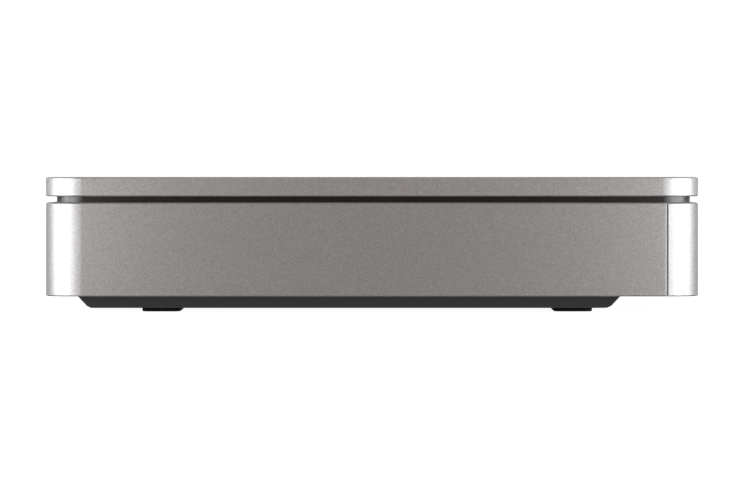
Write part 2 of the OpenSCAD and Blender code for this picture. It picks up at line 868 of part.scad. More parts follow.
// Circuit board, cut away at its right rear corner for the fan and the fins
module motherboard() {
    color(board_green) translate([0, 0, board_z]) linear_extrude(board_t) difference() {
        translate([0, (board_rear + board_front) / 2])
            rounded_rect(board_right - board_left, board_rear - board_front, board_r);
        translate([cut_x, cut_y]) square([case_w, case_d]);
        for (p = standoffs) translate(p) circle(hole_r);
        at_cold_plate_arms() circle(hole_r);
    }
}

// Screws that hold the board to its standoffs
module board_screws() {
    color(steel) for (p = standoffs) translate([p[0], p[1], board_top]) screw(board_t + standoff_h - 0.8);
}

// Processor: a square carrier with its bare die
module cpu_package() {
    color("#1e4a38") translate([cpu_x, cpu_y, board_top + cpu_base_t / 2])
        cube([cpu_side, cpu_side, cpu_base_t], center = true);
    color("#8f9296") translate([cpu_x, cpu_y, board_top + cpu_base_t + cpu_die_t / 2])
        cube([cpu_side * 0.42, cpu_side * 0.34, cpu_die_t], center = true);
}

// Places its children at the ends of the cold plate's four arms
module at_cold_plate_arms() {
    for (sx = [-1, 1], sy = [-1, 1]) translate([cpu_x + sx * arm_reach, cpu_y + sy * arm_reach]) children();
}

// Cold plate: a pedestal on the die, a block under the pipes and four spring arms
module cold_plate() {
    block_z = cpu_top + pedestal_h;
    color("#c2a08a") difference() {
        translate([cpu_x, cpu_y, 0]) {
            translate([-pedestal / 2, -pedestal / 2, cpu_top])
                cube([pedestal, pedestal, pedestal_h + join]);
            translate([0, 0, block_z]) linear_extrude(pipe_z - block_z) rounded_rect(plate_x, plate_d, 2);
            translate([0, 0, block_z]) linear_extrude(arm_t) {
                for (turn = [45, 135]) rotate(turn)
                    square([2 * sqrt(2) * arm_reach, arm_w], center = true);
                for (sx = [-1, 1], sy = [-1, 1])
                    translate([sx * arm_reach, sy * arm_reach]) circle(arm_w / 2);
            }
        }
        at_cold_plate_arms() translate([0, 0, cpu_top]) cylinder(r = hole_r, h = pedestal_h + arm_t + past);
    }
}

// Screws that pull the cold plate down on the processor
module heatsink_screws() {
    color(steel) at_cold_plate_arms() translate([0, 0, cpu_top + pedestal_h + arm_t])
        screw(cpu_top + pedestal_h + arm_t - board_z);
}

// Section of a flattened heat pipe, standing on the plane's X axis
module pipe_section() {
    translate([0, pipe_t / 2]) rotate(90) slot_shape(pipe_t, pipe_w);
}

// Heat pipe: along the cold plate, up past the board's corner and along the fins
module heat_pipe(shift) {
    up_x = pipe_up_x + pipe_step * (1 - shift);
    from_y = pipe_y + pipe_step * shift;
    to_y = pipe_fin_y + pipe_step * shift;
    start_x = cpu_x - plate_x / 2 + 3;
    end_x = fan_x + outlet_w / 2 - 2;
    translate([start_x, from_y, 0]) rotate([90, 0, 90])
        linear_extrude(up_x - pipe_bend - start_x) pipe_section();
    translate([up_x - pipe_bend, from_y + pipe_bend, 0]) rotate(-90)
        rotate_extrude(angle = 90) translate([pipe_bend, 0]) pipe_section();
    translate([up_x, 0, 0]) along_y(from_y + pipe_bend, to_y - from_y - 2 * pipe_bend) pipe_section();
    translate([up_x + pipe_bend, to_y - pipe_bend, 0]) rotate(90)
        rotate_extrude(angle = 90) translate([pipe_bend, 0]) pipe_section();
    translate([up_x + pipe_bend, to_y, 0]) rotate([90, 0, 90])
        linear_extrude(end_x - up_x - pipe_bend) pipe_section();
}

// Two flattened heat pipes, side by side
module heat_pipes() {
    color(copper) translate([0, 0, pipe_z]) for (shift = [0, 1]) heat_pipe(shift);
}

// Stack of thin fins between a top and a bottom bar, open along the air flow
module fin_stack() {
    count = floor((outlet_w - fin_t) / fin_pitch);
    high = pipe_z - fin_z;
    color("#b9bcc0") translate([fan_x, 0, fin_z]) along_y(fin_front, fin_d) {
        translate([-outlet_w / 2, 0]) square([outlet_w, fin_bar / 2]);
        translate([-outlet_w / 2, high - fin_bar]) square([outlet_w, fin_bar]);
        for (i = [0 : count])
            translate([(i - count / 2) * fin_pitch - fin_t / 2, 0]) square([fin_t, high]);
    }
}

// Plan of the fan's scroll and its straight outlet, grown by the given amount
module fan_plan(grow, reach) {
    circle(scroll_r + grow);
    translate([-outlet_w / 2 - grow, 0]) square([outlet_w + 2 * grow, reach]);
}

// Fan housing: scroll wall, floor with a three-armed spider over its intake, and fixing ears
module fan_housing() {
    color("#232426") translate([fan_x, fan_y, fan_z]) difference() {
        union() {
            linear_extrude(fan_h) fan_plan(fan_wall, outlet_len);
            for (ear = fan_ears) translate([ear[0], ear[1], 0]) cylinder(r = ear_r, h = ear_t);
        }
        translate([0, 0, fan_floor]) linear_extrude(fan_h) difference() {
            fan_plan(0, outlet_len + past);
            for (ear = fan_ears) translate(ear) circle(hole_r + 0.6);
        }
        translate([0, 0, -past]) linear_extrude(fan_floor + 2 * past) difference() {
            circle(impeller_r - 9);
            circle(spider_r);
            for (turn = [90, 210, 330]) rotate(turn) translate([0, -1.5]) square([impeller_r, 3]);
        }
        for (ear = fan_ears) translate([ear[0], ear[1], -past]) cylinder(r = hole_r, h = ear_t + 2 * past);
        for (ear = fan_ears) translate([ear[0], ear[1], ear_t]) cylinder(r = head_r + head_gap, h = fan_h);
    }
}

// Sheet lid of the fan, with its upper intake
module fan_cover() {
    color("#9a9da1") translate([fan_x, fan_y, fan_top]) linear_extrude(fan_cover_t) difference() {
        fan_plan(fan_wall, outlet_len);
        circle(impeller_r - 7);
        for (ear = fan_ears) translate(ear) circle(head_r + head_gap);
    }
}

// Fan motor: bearing sleeve and six-pole stator
module fan_motor() {
    stator_z = fan_z + fan_floor + 1;
    stator_h = sleeve_top - stator_z - 0.6;
    color("#7d6a52") translate([fan_x, fan_y, 0]) difference() {
        union() {
            translate([0, 0, fan_z + fan_floor]) cylinder(r = sleeve_r, h = sleeve_top - fan_z - fan_floor);
            translate([0, 0, stator_z]) linear_extrude(stator_h) {
                circle(sleeve_r + 0.8);
                for (i = [0 : 5]) rotate(60 * i) {
                    translate([0, -0.9]) square([stator_r - 0.5, 1.8]);
                    intersection() {
                        difference() {
                            circle(stator_r);
                            circle(stator_r - 1);
                        }
                        translate([0, -2.6]) square([stator_r + past, 5.2]);
                    }
                }
            }
            for (i = [0 : 5]) rotate(60 * i)
                translate([sleeve_r + 1.2, -1.7, stator_z + 0.5])
                    cube([stator_r - sleeve_r - 2.6, 3.4, stator_h - 1]);
        }
        translate([0, 0, fan_z + fan_floor - past]) cylinder(r = shaft_r + shaft_fit, h = fan_h);
    }
}

// Outline of one swept blade: its middle line turns steadily from the hub out to the tip
module blade_shape() {
    steps = 5;
    root = hub_r - hub_wall / 2;
    middle = [for (i = [0 : steps])
        let (r = root + (impeller_r - root) * i / steps, turn = blade_sweep * pow(i / steps, 1.4))
        [r * cos(turn), r * sin(turn)]];
    across = [for (i = [0 : steps])
        let (turn = blade_sweep * pow(i / steps, 1.4) * 1.9)
        [-sin(turn), cos(turn)] * blade_t / 2];
    polygon(concat(
        [for (i = [0 : steps]) middle[i] + across[i]],
        [for (i = [steps : -1 : 0]) middle[i] - across[i]]
    ));
}

// Impeller: a cup-shaped hub on its shaft, with a ring of swept blades
module fan_rotor() {
    shaft_z = fan_z + fan_floor + 0.4;
    cup_top = blade_top - hub_top_t;
    color("#1d1e20") translate([fan_x, fan_y, 0]) {
        translate([0, 0, blade_z]) linear_extrude(blade_top - blade_z)
            for (i = [0 : blade_count - 1]) rotate(360 / blade_count * i) blade_shape();
        rotate_extrude() polygon([
            [0, shaft_z], [shaft_r, shaft_z], [shaft_r, cup_top], [hub_r - hub_wall, cup_top],
            [hub_r - hub_wall, cup_z], [hub_r, cup_z], [hub_r, blade_top], [0, blade_top]
        ]);
    }
}

// Magnet ring inside the hub's cup
module rotor_magnet() {
    high = blade_top - hub_top_t - cup_z - magnet_gap;
    color("#44464a") translate([fan_x, fan_y, cup_z]) linear_extrude(high) difference() {
        circle(hub_r - hub_wall);
        circle(hub_r - hub_wall - magnet_t);
    }
}

// Screws that hold the fan to the shell's posts
module fan_screws() {
    color(steel) for (ear = fan_ears) translate([fan_x + ear[0], fan_y + ear[1], fan_z + ear_t])
        screw(ear_t + fan_post_h);
}

// Sockets for the flat memory modules, each with a bar and two spring arms
module memory_sockets() {
    color("#26231f") for (y = memory_ys) translate([memory_x, y, board_top]) {
        difference() {
            translate([-memory_span / 2, memory_d - memory_in, 0])
                cube([memory_span, socket_bar + memory_in - 1, socket_h]);
            translate([-memory_w / 2 - slot_gap, -past, memory_lift - slot_gap])
                cube([memory_w + 2 * slot_gap, memory_d + past + slot_gap, memory_t + 2 * slot_gap]);
        }
        for (sx = [-1, 1]) translate([sx * (memory_w / 2 + 1.6) - 1.4, 8, 0])
            cube([2.8, memory_d - memory_in - 8 + join, socket_h - 1]);
    }
}

// Memory modules: bare boards with a key notch in the contact edge
module memory_modules() {
    color("#174a35") for (y = memory_ys) translate([memory_x, y, board_top + memory_lift])
        linear_extrude(memory_t) difference() {
            translate([-memory_w / 2, 0]) square([memory_w, memory_d]);
            translate([4, memory_d - memory_in]) square([1.5, memory_in + past]);
            for (sx = [-1, 1]) translate([sx * memory_w / 2, memory_d * 0.4]) circle(1.8);
        }
}

// Memory chips on top of the modules
module memory_chips() {
    chip = [10.5, 12, 1];
    chip_z = board_top + memory_lift + memory_t;
    color(black) for (y = memory_ys, i = [0 : 3])
        translate([memory_x + (i - 1.5) * memory_w / 4 - chip[0] / 2, y + memory_in + 2, chip_z])
            cube(chip);
}

// Edge socket for a plug-in card whose contact edge is at x = 0 and which lies towards +X
module card_socket() {
    translate([0, 0, board_top]) difference() {
        translate([-card_back, -card_w / 2, 0]) cube([card_back + card_in, card_w, card_lift + card_t + 1]);
        translate([-slot_gap, -card_w / 2 - past, card_lift - slot_gap])
            cube([card_in + past, card_w + 2 * past, card_t + 2 * slot_gap]);
    }
}

// Places its children at the radio card, turned so that it lies towards -X
module at_radio() {
    translate([radio_x + radio_l, radio_y, 0]) rotate(180) children();
}

// Edge sockets for the drive and the radio card
module card_sockets() {
    color("#26231f") {
        translate([ssd_x, ssd_y, 0]) card_socket();
        at_radio() card_socket();
    }
}

// Bare card with its screw notch and key notch, contact edge at x = 0
module card_board(length) {
    translate([0, 0, board_top + card_lift]) linear_extrude(card_t) difference() {
        translate([0, -card_w / 2]) square([length, card_w]);
        translate([length, 0]) circle(1.8);
        translate([-past, 5]) square([past + card_in, 1.2]);
    }
}

// Solid-state drive card
module ssd_module() {
    color("#1b2d45") translate([ssd_x, ssd_y, 0]) card_board(ssd_l);
}

// Controller and flash chips on the drive card
module ssd_chips() {
    color(black) translate([ssd_x, ssd_y, board_top + card_lift + card_t]) for (share = [0.2, 0.45, 0.7])
        translate([ssd_l * share, 0, 0.6]) cube([ssd_l * 0.17, card_w * 0.64, 1.2], center = true);
}

// Radio card
module radio_module() {
    color("#1b2d45") at_radio() card_board(radio_l);
}

// Pressed shield can on the radio card
module radio_shield() {
    shield_in = 3;
    shield_h = 1.6;
    shield_l = radio_l - card_in - 2 * shield_in - head_r - part_gap;
    shield_z = board_top + card_lift + card_t;
    color(steel) at_radio() translate([card_in + shield_in, shield_in - card_w / 2, shield_z])
        cube([shield_l, card_w - 2 * shield_in, shield_h]);
}

// Posts and screws at the cards' free ends
module card_screws() {
    color(steel) {
        translate([ssd_x + ssd_l, ssd_y, 0]) card_post();
        at_radio() translate([radio_l, 0, 0]) card_post();
    }
}

// Post on the board with its screw, which holds a card down
module card_post() {
    translate([0, 0, board_top]) cylinder(r = card_post_r, h = card_lift);
    translate([0, 0, board_top + card_lift - join]) cylinder(r = shank_r, h = join + card_t + head_h / 2);
    translate([0, 0, board_top + card_lift + card_t]) cylinder(r = head_r, h = head_h);
}

// Radio antennas on the inside of the ring's rear wall
module radio_antennas() {
    strip = [34, 1, lid_under - body_top - 1];
    strip_y = rear_y - ring_rear_in - ring_t - strip[1];
    color("#202a2c") for (sx = [-1, 1])
        translate([sx * case_w / 5 - strip[0] / 2, strip_y, body_top + 0.5]) cube(strip);
}

// Coin cell for the clock
module coin_cell() {
    color("#c9cbcd") translate([cell_x, cell_y, board_top + holder_floor]) rotate_extrude() polygon([
        [0, 0], [cell_r - cell_step, 0], [cell_r - cell_step, cell_step_h], [cell_r, cell_step_h],
        [cell_r, cell_h - cell_edge], [cell_r - cell_edge, cell_h], [0, cell_h]
    ]);
}

// Moulded holder round the coin cell
module coin_cell_holder() {
    color(black) translate([cell_x, cell_y, board_top]) difference() {
        cylinder(r = cell_holder_r, h = cell_h);
        translate([0, 0, holder_floor]) cylinder(r = cell_r + cell_fit, h = cell_h);
        translate([-cell_r / 2, 0, holder_floor]) cube([cell_r, cell_holder_r + past, cell_h]);
    }
}

// Power inductors in a row along the processor's front edge
module inductors() {
    row_y = cpu_y - cpu_side / 2 - inductor_gap - inductor_side / 2;
    color("#4d4f52") for (i = [-2 : 2])
        translate([cpu_x + i * inductor_pitch, row_y, board_top + inductor_h / 2])
            cube([inductor_side, inductor_side, inductor_h], center = true);
}

// Can capacitors in a row behind the radio card
module capacitors() {
    color("#9aa0a6") for (i = [0 : 4])
        translate([cap_x + i * cap_pitch, cap_y, board_top]) {
            cylinder(r = cap_r, h = cap_h);
            translate([-cap_foot / 2, -cap_foot / 2, 0]) cube([cap_foot, cap_foot, cap_foot_h]);
        }
}

// Other chips on the board, and the status light's emitter
module board_chips() {
    chip_y = (ssd_y + card_w / 2 + cut_y) / 2;
    color(black) {
        board_chip(cut_x + hub_chip_x, chip_y, hub_chip, chip_h);
        board_chip(cut_x - clock_chip_x, chip_y, clock_chip, low_chip_h);
        board_chip(front_xs[3] + sound_chip_x, board_front + sound_chip_in, sound_chip, low_chip_h);
        board_chip(light_x - control_chip_x, board_front + control_chip_in, control_chip, chip_h);
    }
    color("#e8e4d4") board_chip(light_x, light_back, led_side, led_h);
}

// Square device with its middle at the given place on the board
module board_chip(x, y, side, high) {
    translate([x, y, board_top + high / 2]) cube([side, side, high], center = true);
}

// Socket with its mouth at y = 0, going back along +Y: outside, room and tongue are its three shapes
module socket(depth, room) {
    difference() {
        along_y(0, depth) children(0);
        along_y(-past, room + past) children(1);
    }
    along_y(tongue_in, room + join - tongue_in) children(2);
}

// Puts a socket on the board's front edge
module at_front(x) {
    translate([x, front_mouth, board_top]) children();
}

// Puts a socket on the board's rear edge, facing backwards
module at_rear(x) {
    translate([x, rear_mouth, board_top]) mirror([0, 1, 0]) children();
}

// Rectangle that stands on the X axis, in by the given wall
module standing_rect(size, thick) {
    translate([thick - size[0] / 2, thick]) square([size[0] - 2 * thick, size[1] - 2 * thick]);
}

// Rectangle across the middle of a socket's mouth, with its lower edge at the given height
module mouth_rect(size, low) {
    translate([-size[0] / 2, low]) square(size);
}

// Flat power inlet with one blade
module power_inlet() {
    color(black) at_rear(rear_xs[0]) socket(inlet_depth, inlet_room) {
        standing_rect(inlet, 0);
        standing_rect(inlet, inlet_wall);
        mouth_rect(inlet_blade, (inlet[1] - inlet_blade[1]) / 2);
    }
}

// Outline of the wide-topped picture socket, in by the given wall
module hdmi_shape(thick) {
    half = hdmi[0] / 2 - thick;
    low = half - hdmi_slope;
    top = hdmi[1] - thick;
    polygon([
        [-low, thick], [low, thick], [half, hdmi_side_z],
        [half, top], [-half, top], [-half, hdmi_side_z]
    ]);
}

// Picture socket with a trapezoid mouth
module hdmi_port() {
    color(steel) at_rear(rear_xs[1]) socket(video_depth, video_room) {
        hdmi_shape(0);
        hdmi_shape(video_wall);
        mouth_rect([hdmi_tongue_w, video_tongue_t], hdmi_tongue_z);
    }
}

// Outline of the picture socket with one cut corner, in by the given wall
module dport_shape(thick) {
    half = dport[0] / 2 - thick;
    polygon([
        [-half, thick], [half - dport_cut, thick], [half, dport_cut + thick],
        [half, dport[1] - thick], [-half, dport[1] - thick]
    ]);
}

// Picture socket with one cut corner
module display_port() {
    color(steel) at_rear(rear_xs[2]) socket(video_depth, video_room) {
        dport_shape(0);
        dport_shape(video_wall);
        translate([dport_tongue_x, dport_tongue_z]) square([dport_tongue_w, video_tongue_t]);
    }
}

// Two stacked data sockets in one steel shell
module usb_stack_rear() {
    levels = [stack[1] / 4, stack[1] * 3 / 4];
    color(steel) at_rear(rear_xs[3]) socket(stack_depth, stack_room) {
        standing_rect(stack, 0);
        for (z = levels) translate([0, z]) square(stack_mouth, center = true);
        for (z = levels) translate([0, z + stack_tongue_up]) square(stack_tongue, center = true);
    }
}

// Network socket: a square room with a latch step under it and a contact bar at the back
module ethernet_port() {
    color(steel) at_rear(rear_xs[4]) {
        difference() {
            along_y(0, rj45_depth) standing_rect(rj45, 0);
            along_y(-past, rj45_room + past) {
                mouth_rect(plug_mouth, plug_z);
                mouth_rect(latch_mouth, latch_z);
            }
        }
        along_y(rj45_room - wire_bar_depth, wire_bar_depth + join) mouth_rect(wire_bar, wire_bar_z);
    }
}

// Two single data sockets in the front
module usb_a_front() {
    color(steel) for (x = [front_xs[0], front_xs[1]]) at_front(x) socket(usb_a_depth, usb_a_room) {
        standing_rect(usb_a, 0);
        standing_rect(usb_a, usb_a_wall);
        mouth_rect(usb_a_tongue, usb_a[1] / 2 + usb_a_tongue_up);
    }
}

// Round-ended data socket in the front, in by the given wall
module usb_c_shape(thick) {
    translate([0, usb_c[1] / 2]) rotate(90) slot_shape(usb_c[1] - 2 * thick, usb_c[0] - 2 * thick);
}

// Small round-ended data socket in the front
module usb_c_front() {
    color(steel) at_front(front_xs[2]) socket(usb_c_depth, usb_c_room) {
        usb_c_shape(0);
        usb_c_shape(usb_c_wall);
        mouth_rect(usb_c_tongue, (usb_c[1] - usb_c_tongue[1]) / 2);
    }
}

// Headphone jack: a moulded body with a round nose and a straight bore
module audio_jack() {
    color(black) translate([front_xs[3], front_mouth, 0]) difference() {
        union() {
            translate([-jack_body[0] / 2, jack_nose, board_top])
                cube([jack_body[0], jack_depth - jack_nose + jack_back, jack_body[1]]);
            translate([0, 0, jack_z]) rotate([-90, 0, 0]) cylinder(r = jack_nose_r, h = jack_nose + join);
        }
        translate([0, -past, jack_z]) rotate([-90, 0, 0]) cylinder(r = jack_r, h = jack_depth + past);
    }
}

top_lid();
lid_bosses();
lid_screws();
vent_frame();
main_shell();
front_bezel();
power_panel();
rear_io_plate();
exhaust_grille();
base_cover();
base_screws();
rubber_feet();
power_button();
button_guide();
switch_plunger();
power_switch();
status_light_pipe();
board_standoffs();
motherboard();
board_screws();
cpu_package();
cold_plate();
heatsink_screws();
heat_pipes();
fin_stack();
fan_housing();
fan_cover();
fan_motor();
fan_rotor();
rotor_magnet();
fan_screws();
memory_sockets();
memory_modules();
memory_chips();
card_sockets();
ssd_module();
ssd_chips();
radio_module();
radio_shield();
card_screws();
radio_antennas();
coin_cell();
coin_cell_holder();
inductors();
capacitors();
board_chips();
power_inlet();
hdmi_port();
display_port();
usb_stack_rear();
ethernet_port();
usb_a_front();
usb_c_front();
audio_jack();
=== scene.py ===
import math

import bpy
import numpy as np
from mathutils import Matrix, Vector


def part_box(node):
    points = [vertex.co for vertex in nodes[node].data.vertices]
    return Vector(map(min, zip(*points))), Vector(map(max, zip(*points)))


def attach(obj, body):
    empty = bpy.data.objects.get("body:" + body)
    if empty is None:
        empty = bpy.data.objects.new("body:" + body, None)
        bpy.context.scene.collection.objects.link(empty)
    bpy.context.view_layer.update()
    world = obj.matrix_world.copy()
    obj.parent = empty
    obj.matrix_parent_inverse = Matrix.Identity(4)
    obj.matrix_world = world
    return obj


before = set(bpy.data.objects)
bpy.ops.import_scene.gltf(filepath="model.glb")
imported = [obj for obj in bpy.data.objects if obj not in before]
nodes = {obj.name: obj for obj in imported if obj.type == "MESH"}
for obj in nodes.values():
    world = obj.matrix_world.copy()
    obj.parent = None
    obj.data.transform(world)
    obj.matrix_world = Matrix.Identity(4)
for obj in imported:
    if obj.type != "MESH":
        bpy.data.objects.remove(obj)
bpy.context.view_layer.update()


# Main shell: floor, sides and rear wall in one deep-drawn aluminium shell, bead blasted and
# anodised in a warm silver. The board, the cooler and the ring above it all screw or seat into it.
MM = 0.001
FACET_MM = 0.15
DENT_MM = 0.0006
BLASTED_ROUGH = (0.52, 0.54)


def linear(hex_colour):
    """sRGB hex to linear colour: each channel goes through the sRGB curve, and alpha is 1."""
    srgb = np.array([int(hex_colour[i:i + 2], 16) for i in (1, 3, 5)]) / 255
    low = srgb / 12.92
    high = ((srgb + 0.055) / 1.055) ** 2.4
    return (*np.where(srgb <= 0.04045, low, high).tolist(), 1.0)


def add_node(tree, kind, inputs=None, links=None, **settings):
    """Adds one node, sets its properties and sockets, and links sources to its sockets."""
    made = tree.nodes.new(kind)
    for name, value in settings.items():
        setattr(made, name, value)
    for name, value in (inputs or {}).items():
        made.inputs[name].default_value = value
    for name, source in (links or {}).items():
        tree.links.new(source, made.inputs[name])
    return made


def begin_finish(name, metallic, ior=1.5):
    """Starts a material: gives it, its node tree, its shader and the piece's own coordinates."""
    made = bpy.data.materials.new(name)
    made.use_nodes = True
    tree = made.node_tree
    shader = tree.nodes["Principled BSDF"]
    shader.inputs["Metallic"].default_value = metallic
    shader.inputs["IOR"].default_value = ior
    place = add_node(tree, "ShaderNodeTexCoord").outputs["Object"]
    return made, tree, shader, place


def two_tones(tree, value, dark, light, low=0.0, high=1.0):
    """Ramp from a dark to a light colour while a value goes from low to high. Gives its colour output."""
    tone = add_node(tree, "ShaderNodeValToRGB", links={"Fac": value})
    for stop, place, colour in zip(tone.color_ramp.elements, (low, high), (dark, light)):
        stop.position = place
        stop.color = linear(colour)
    return tone.outputs["Color"]


def between(tree, value, ends):
    """Number that goes from the first end to the second while a value goes from 0 to 1. Gives its output."""
    mapped = add_node(tree, "ShaderNodeMapRange", {"To Min": ends[0], "To Max": ends[1]}, {"Value": value})
    return mapped.outputs["Result"]


def raised(tree, height, relief_mm, strength=1.0):
    """Surface normal of a relief: a height of 1 stands the given millimetres proud. Gives its output."""
    relief = add_node(tree, "ShaderNodeBump", {"Strength": strength, "Distance": relief_mm * MM},
                      {"Height": height})
    return relief.outputs["Normal"]


def blasted_aluminium(name, dark, light):
    """Blasted and anodised aluminium. Each facet is a Voronoi cell that takes its own tone between two
    greys and its own roughness, and the distance from its middle dents the surface a little."""
    made, tree, shader, place = begin_finish(name, metallic=1.0)
    facet = add_node(tree, "ShaderNodeTexVoronoi", {"Scale": 1 / (FACET_MM * MM)}, {"Vector": place})
    chance = add_node(tree, "ShaderNodeSeparateColor", links={"Color": facet.outputs["Color"]})
    tree.links.new(two_tones(tree, chance.outputs["Red"], dark, light), shader.inputs["Base Color"])
    tree.links.new(between(tree, chance.outputs["Green"], BLASTED_ROUGH), shader.inputs["Roughness"])
    tree.links.new(raised(tree, facet.outputs["Distance"], DENT_MM), shader.inputs["Normal"])
    return made


def dress(material, *names):
    """Gives CAD nodes one material in place of the plain one that they came with."""
    for name in names:
        nodes[name].data.materials.clear()
        nodes[name].data.materials.append(material)


# Blasted facets are some 0.05 mm wide. They are drawn as coarse as they need to be to show.
silver_aluminium = blasted_aluminium("bead_blasted_aluminium", "#8F8B87", "#B2AEAA")
dress(silver_aluminium, "main_shell")


# Board standoffs: brass pillars, turned from bar and pressed into the shell's floor, that hold
# the circuit board clear of the metal. Turning leaves fine rings up their sides.
TONE_LOW, TONE_HIGH = 0.3, 0.7


def grained_finish(name, tones, grain_mm, rough, relief_mm, metallic=0.0, ior=1.5, stretch=(1, 1, 1)):
    """Surface with an even grain: one noise of the grain's size mixes two tones, shifts the roughness
    between two values and lifts the surface by the relief's height."""
    made, tree, shader, place = begin_finish(name, metallic, ior)
    laid = add_node(tree, "ShaderNodeMapping", {"Scale": stretch}, {"Vector": place})
    grain = add_node(tree, "ShaderNodeTexNoise", {"Scale": 1 / (grain_mm * MM), "Detail": 1.0},
                     {"Vector": laid.outputs["Vector"]})
    level = grain.outputs["Fac"]
    tree.links.new(two_tones(tree, level, *tones, TONE_LOW, TONE_HIGH), shader.inputs["Base Color"])
    tree.links.new(between(tree, level, rough), shader.inputs["Roughness"])
    tree.links.new(raised(tree, level, relief_mm), shader.inputs["Normal"])
    return made


turned_brass = grained_finish(
    "turned_brass", ("#A98A45", "#C2A765"), grain_mm=0.9, rough=(0.22, 0.34), relief_mm=0.003,
    metallic=1.0, stretch=(0.2, 0.2, 4),
)
dress(turned_brass, "board_standoffs")


# Circuit board: glass-fibre laminate under a dark green solder mask. The copper traces under the
# mask stand a little proud and show as lighter lines, some running across and some along.
PATCH_MM = 14.0
PATCH_LEVEL = 0.5
MASK_ROUGH = (0.24, 0.38)
TRACE_EDGES = (0.72, 0.8)
TRACE_MM = 0.03
TRACE_RELIEF = 0.6
# A wave texture of this scale has one wave in each unit of length.
WAVE_TURNS = 2 * math.pi / 20


def laminate(name, mask, trace, pitch_mm):
    """Solder mask over traces: sine waves across and along, a pitch apart, are sharpened into lines, and a
    noise of PATCH_MM picks which of the two shows. A line is lighter than the mask and raised."""
    made, tree, shader, place = begin_finish(name, metallic=0.0)
    waves = [
        add_node(tree, "ShaderNodeTexWave", {"Scale": WAVE_TURNS / (pitch_mm * MM)}, {"Vector": place},
                 bands_direction=direction).outputs["Fac"]
        for direction in ("X", "Y")
    ]
    patch = add_node(tree, "ShaderNodeTexNoise", {"Scale": 1 / (PATCH_MM * MM)}, {"Vector": place})
    pick = add_node(tree, "ShaderNodeMath", {1: PATCH_LEVEL}, {0: patch.outputs["Fac"]},
                    operation="GREATER_THAN")
    mixed = {"Factor": pick.outputs["Value"], "A": waves[0], "B": waves[1]}
    lines = add_node(tree, "ShaderNodeMix", links=mixed).outputs["Result"]
    tree.links.new(two_tones(tree, lines, mask, trace, *TRACE_EDGES), shader.inputs["Base Color"])
    tree.links.new(between(tree, patch.outputs["Fac"], MASK_ROUGH), shader.inputs["Roughness"])
    tree.links.new(raised(tree, lines, TRACE_MM, TRACE_RELIEF), shader.inputs["Normal"])
    return made


green_laminate = laminate("green_solder_mask", "#0E2A20", "#1D4B38", pitch_mm=1.1)
dress(green_laminate, "motherboard")


# Board screws: small zinc-plated steel screws with hexagon sockets, cold headed and tumbled, so
# that their grey is soft and a little uneven.
zinc_steel = grained_finish(
    "zinc_plated_steel", ("#8F9193", "#A9ABAD"), grain_mm=0.4, rough=(0.28, 0.42), relief_mm=0.004,
    metallic=1.0,
)
dress(zinc_steel, "board_screws")


# Processor: a square laminate carrier soldered to the board, with its bare die on top.
# Only its edges show once the cold plate is down.
dress(green_laminate, "cpu_package")


# Power inductors: blocks of pressed and sintered ferrite in a row beside the processor, dark
# grey and dull like stone.
sintered_ferrite = grained_finish(
    "sintered_ferrite", ("#3A3B3D", "#515356"), grain_mm=0.35, rough=(0.5, 0.65), relief_mm=0.008,
    metallic=0.4,
)
dress(sintered_ferrite, "inductors")


# Capacitors: drawn aluminium cans, soldered upright in a row. Drawing streaks them along
# their height.
drawn_aluminium = grained_finish(
    "drawn_aluminium", ("#A3A6A9", "#C3C6C9"), grain_mm=0.3, rough=(0.22, 0.34), relief_mm=0.003,
    metallic=1.0, stretch=(1, 1, 0.08),
)
dress(drawn_aluminium, "capacitors")


# Board chips: devices moulded in black epoxy filled with silica, so they are matt and grainy.
# They are soldered flat to the board.
chip_epoxy = grained_finish(
    "black_mould_epoxy", ("#0C0C0D", "#1A1A1B"), grain_mm=0.25, rough=(0.5, 0.65), relief_mm=0.006,
)
dress(chip_epoxy, "board_chips")


# Coin cell and its holder: a pressed stainless can with a polished face, clipped into a ring
# of moulded nylon. Glass in the nylon gives it a dry, slightly rough skin.
polished_steel = grained_finish(
    "polished_stainless_steel", ("#BFC1C2", "#D2D3D4"), grain_mm=0.8, rough=(0.12, 0.2), relief_mm=0.001,
    metallic=1.0,
)
dress(polished_steel, "coin_cell")
black_nylon = grained_finish(
    "glass_filled_nylon", ("#101011", "#1D1D1E"), grain_mm=0.4, rough=(0.42, 0.58), relief_mm=0.008,
)
dress(black_nylon, "coin_cell_holder")


# Power switch: a small push switch in a nylon body, soldered to the board's front edge behind
# the button.
dress(black_nylon, "power_switch")


# Memory: two boards with epoxy-moulded chips on their upper faces, laid into nylon edge sockets
# that latch at their ends.
dress(black_nylon, "memory_sockets")
dress(green_laminate, "memory_modules")
dress(chip_epoxy, "memory_chips")


# Plug-in cards: the drive and the radio card, thin boards under a blue mask, each in an edge
# socket and held down by one screw. The radio's chips sit under a folded shield.
blue_laminate = laminate("blue_solder_mask", "#101E30", "#20374F", pitch_mm=0.8)
dress(black_nylon, "card_sockets")
dress(blue_laminate, "ssd_module", "radio_module")
dress(chip_epoxy, "ssd_chips")
dress(zinc_steel, "card_screws")
nickel_steel = grained_finish(
    "nickel_plated_steel", ("#A6A6A3", "#B6B6B3"), grain_mm=0.9, rough=(0.2, 0.28), relief_mm=0.001,
    metallic=1.0,
)
dress(nickel_steel, "radio_shield")


# Antennas: two strips of thin laminate, stuck upright inside the plastic ring's rear wall, where
# the gap in the metal case leaves a way out for radio.
dress(blue_laminate, "radio_antennas")


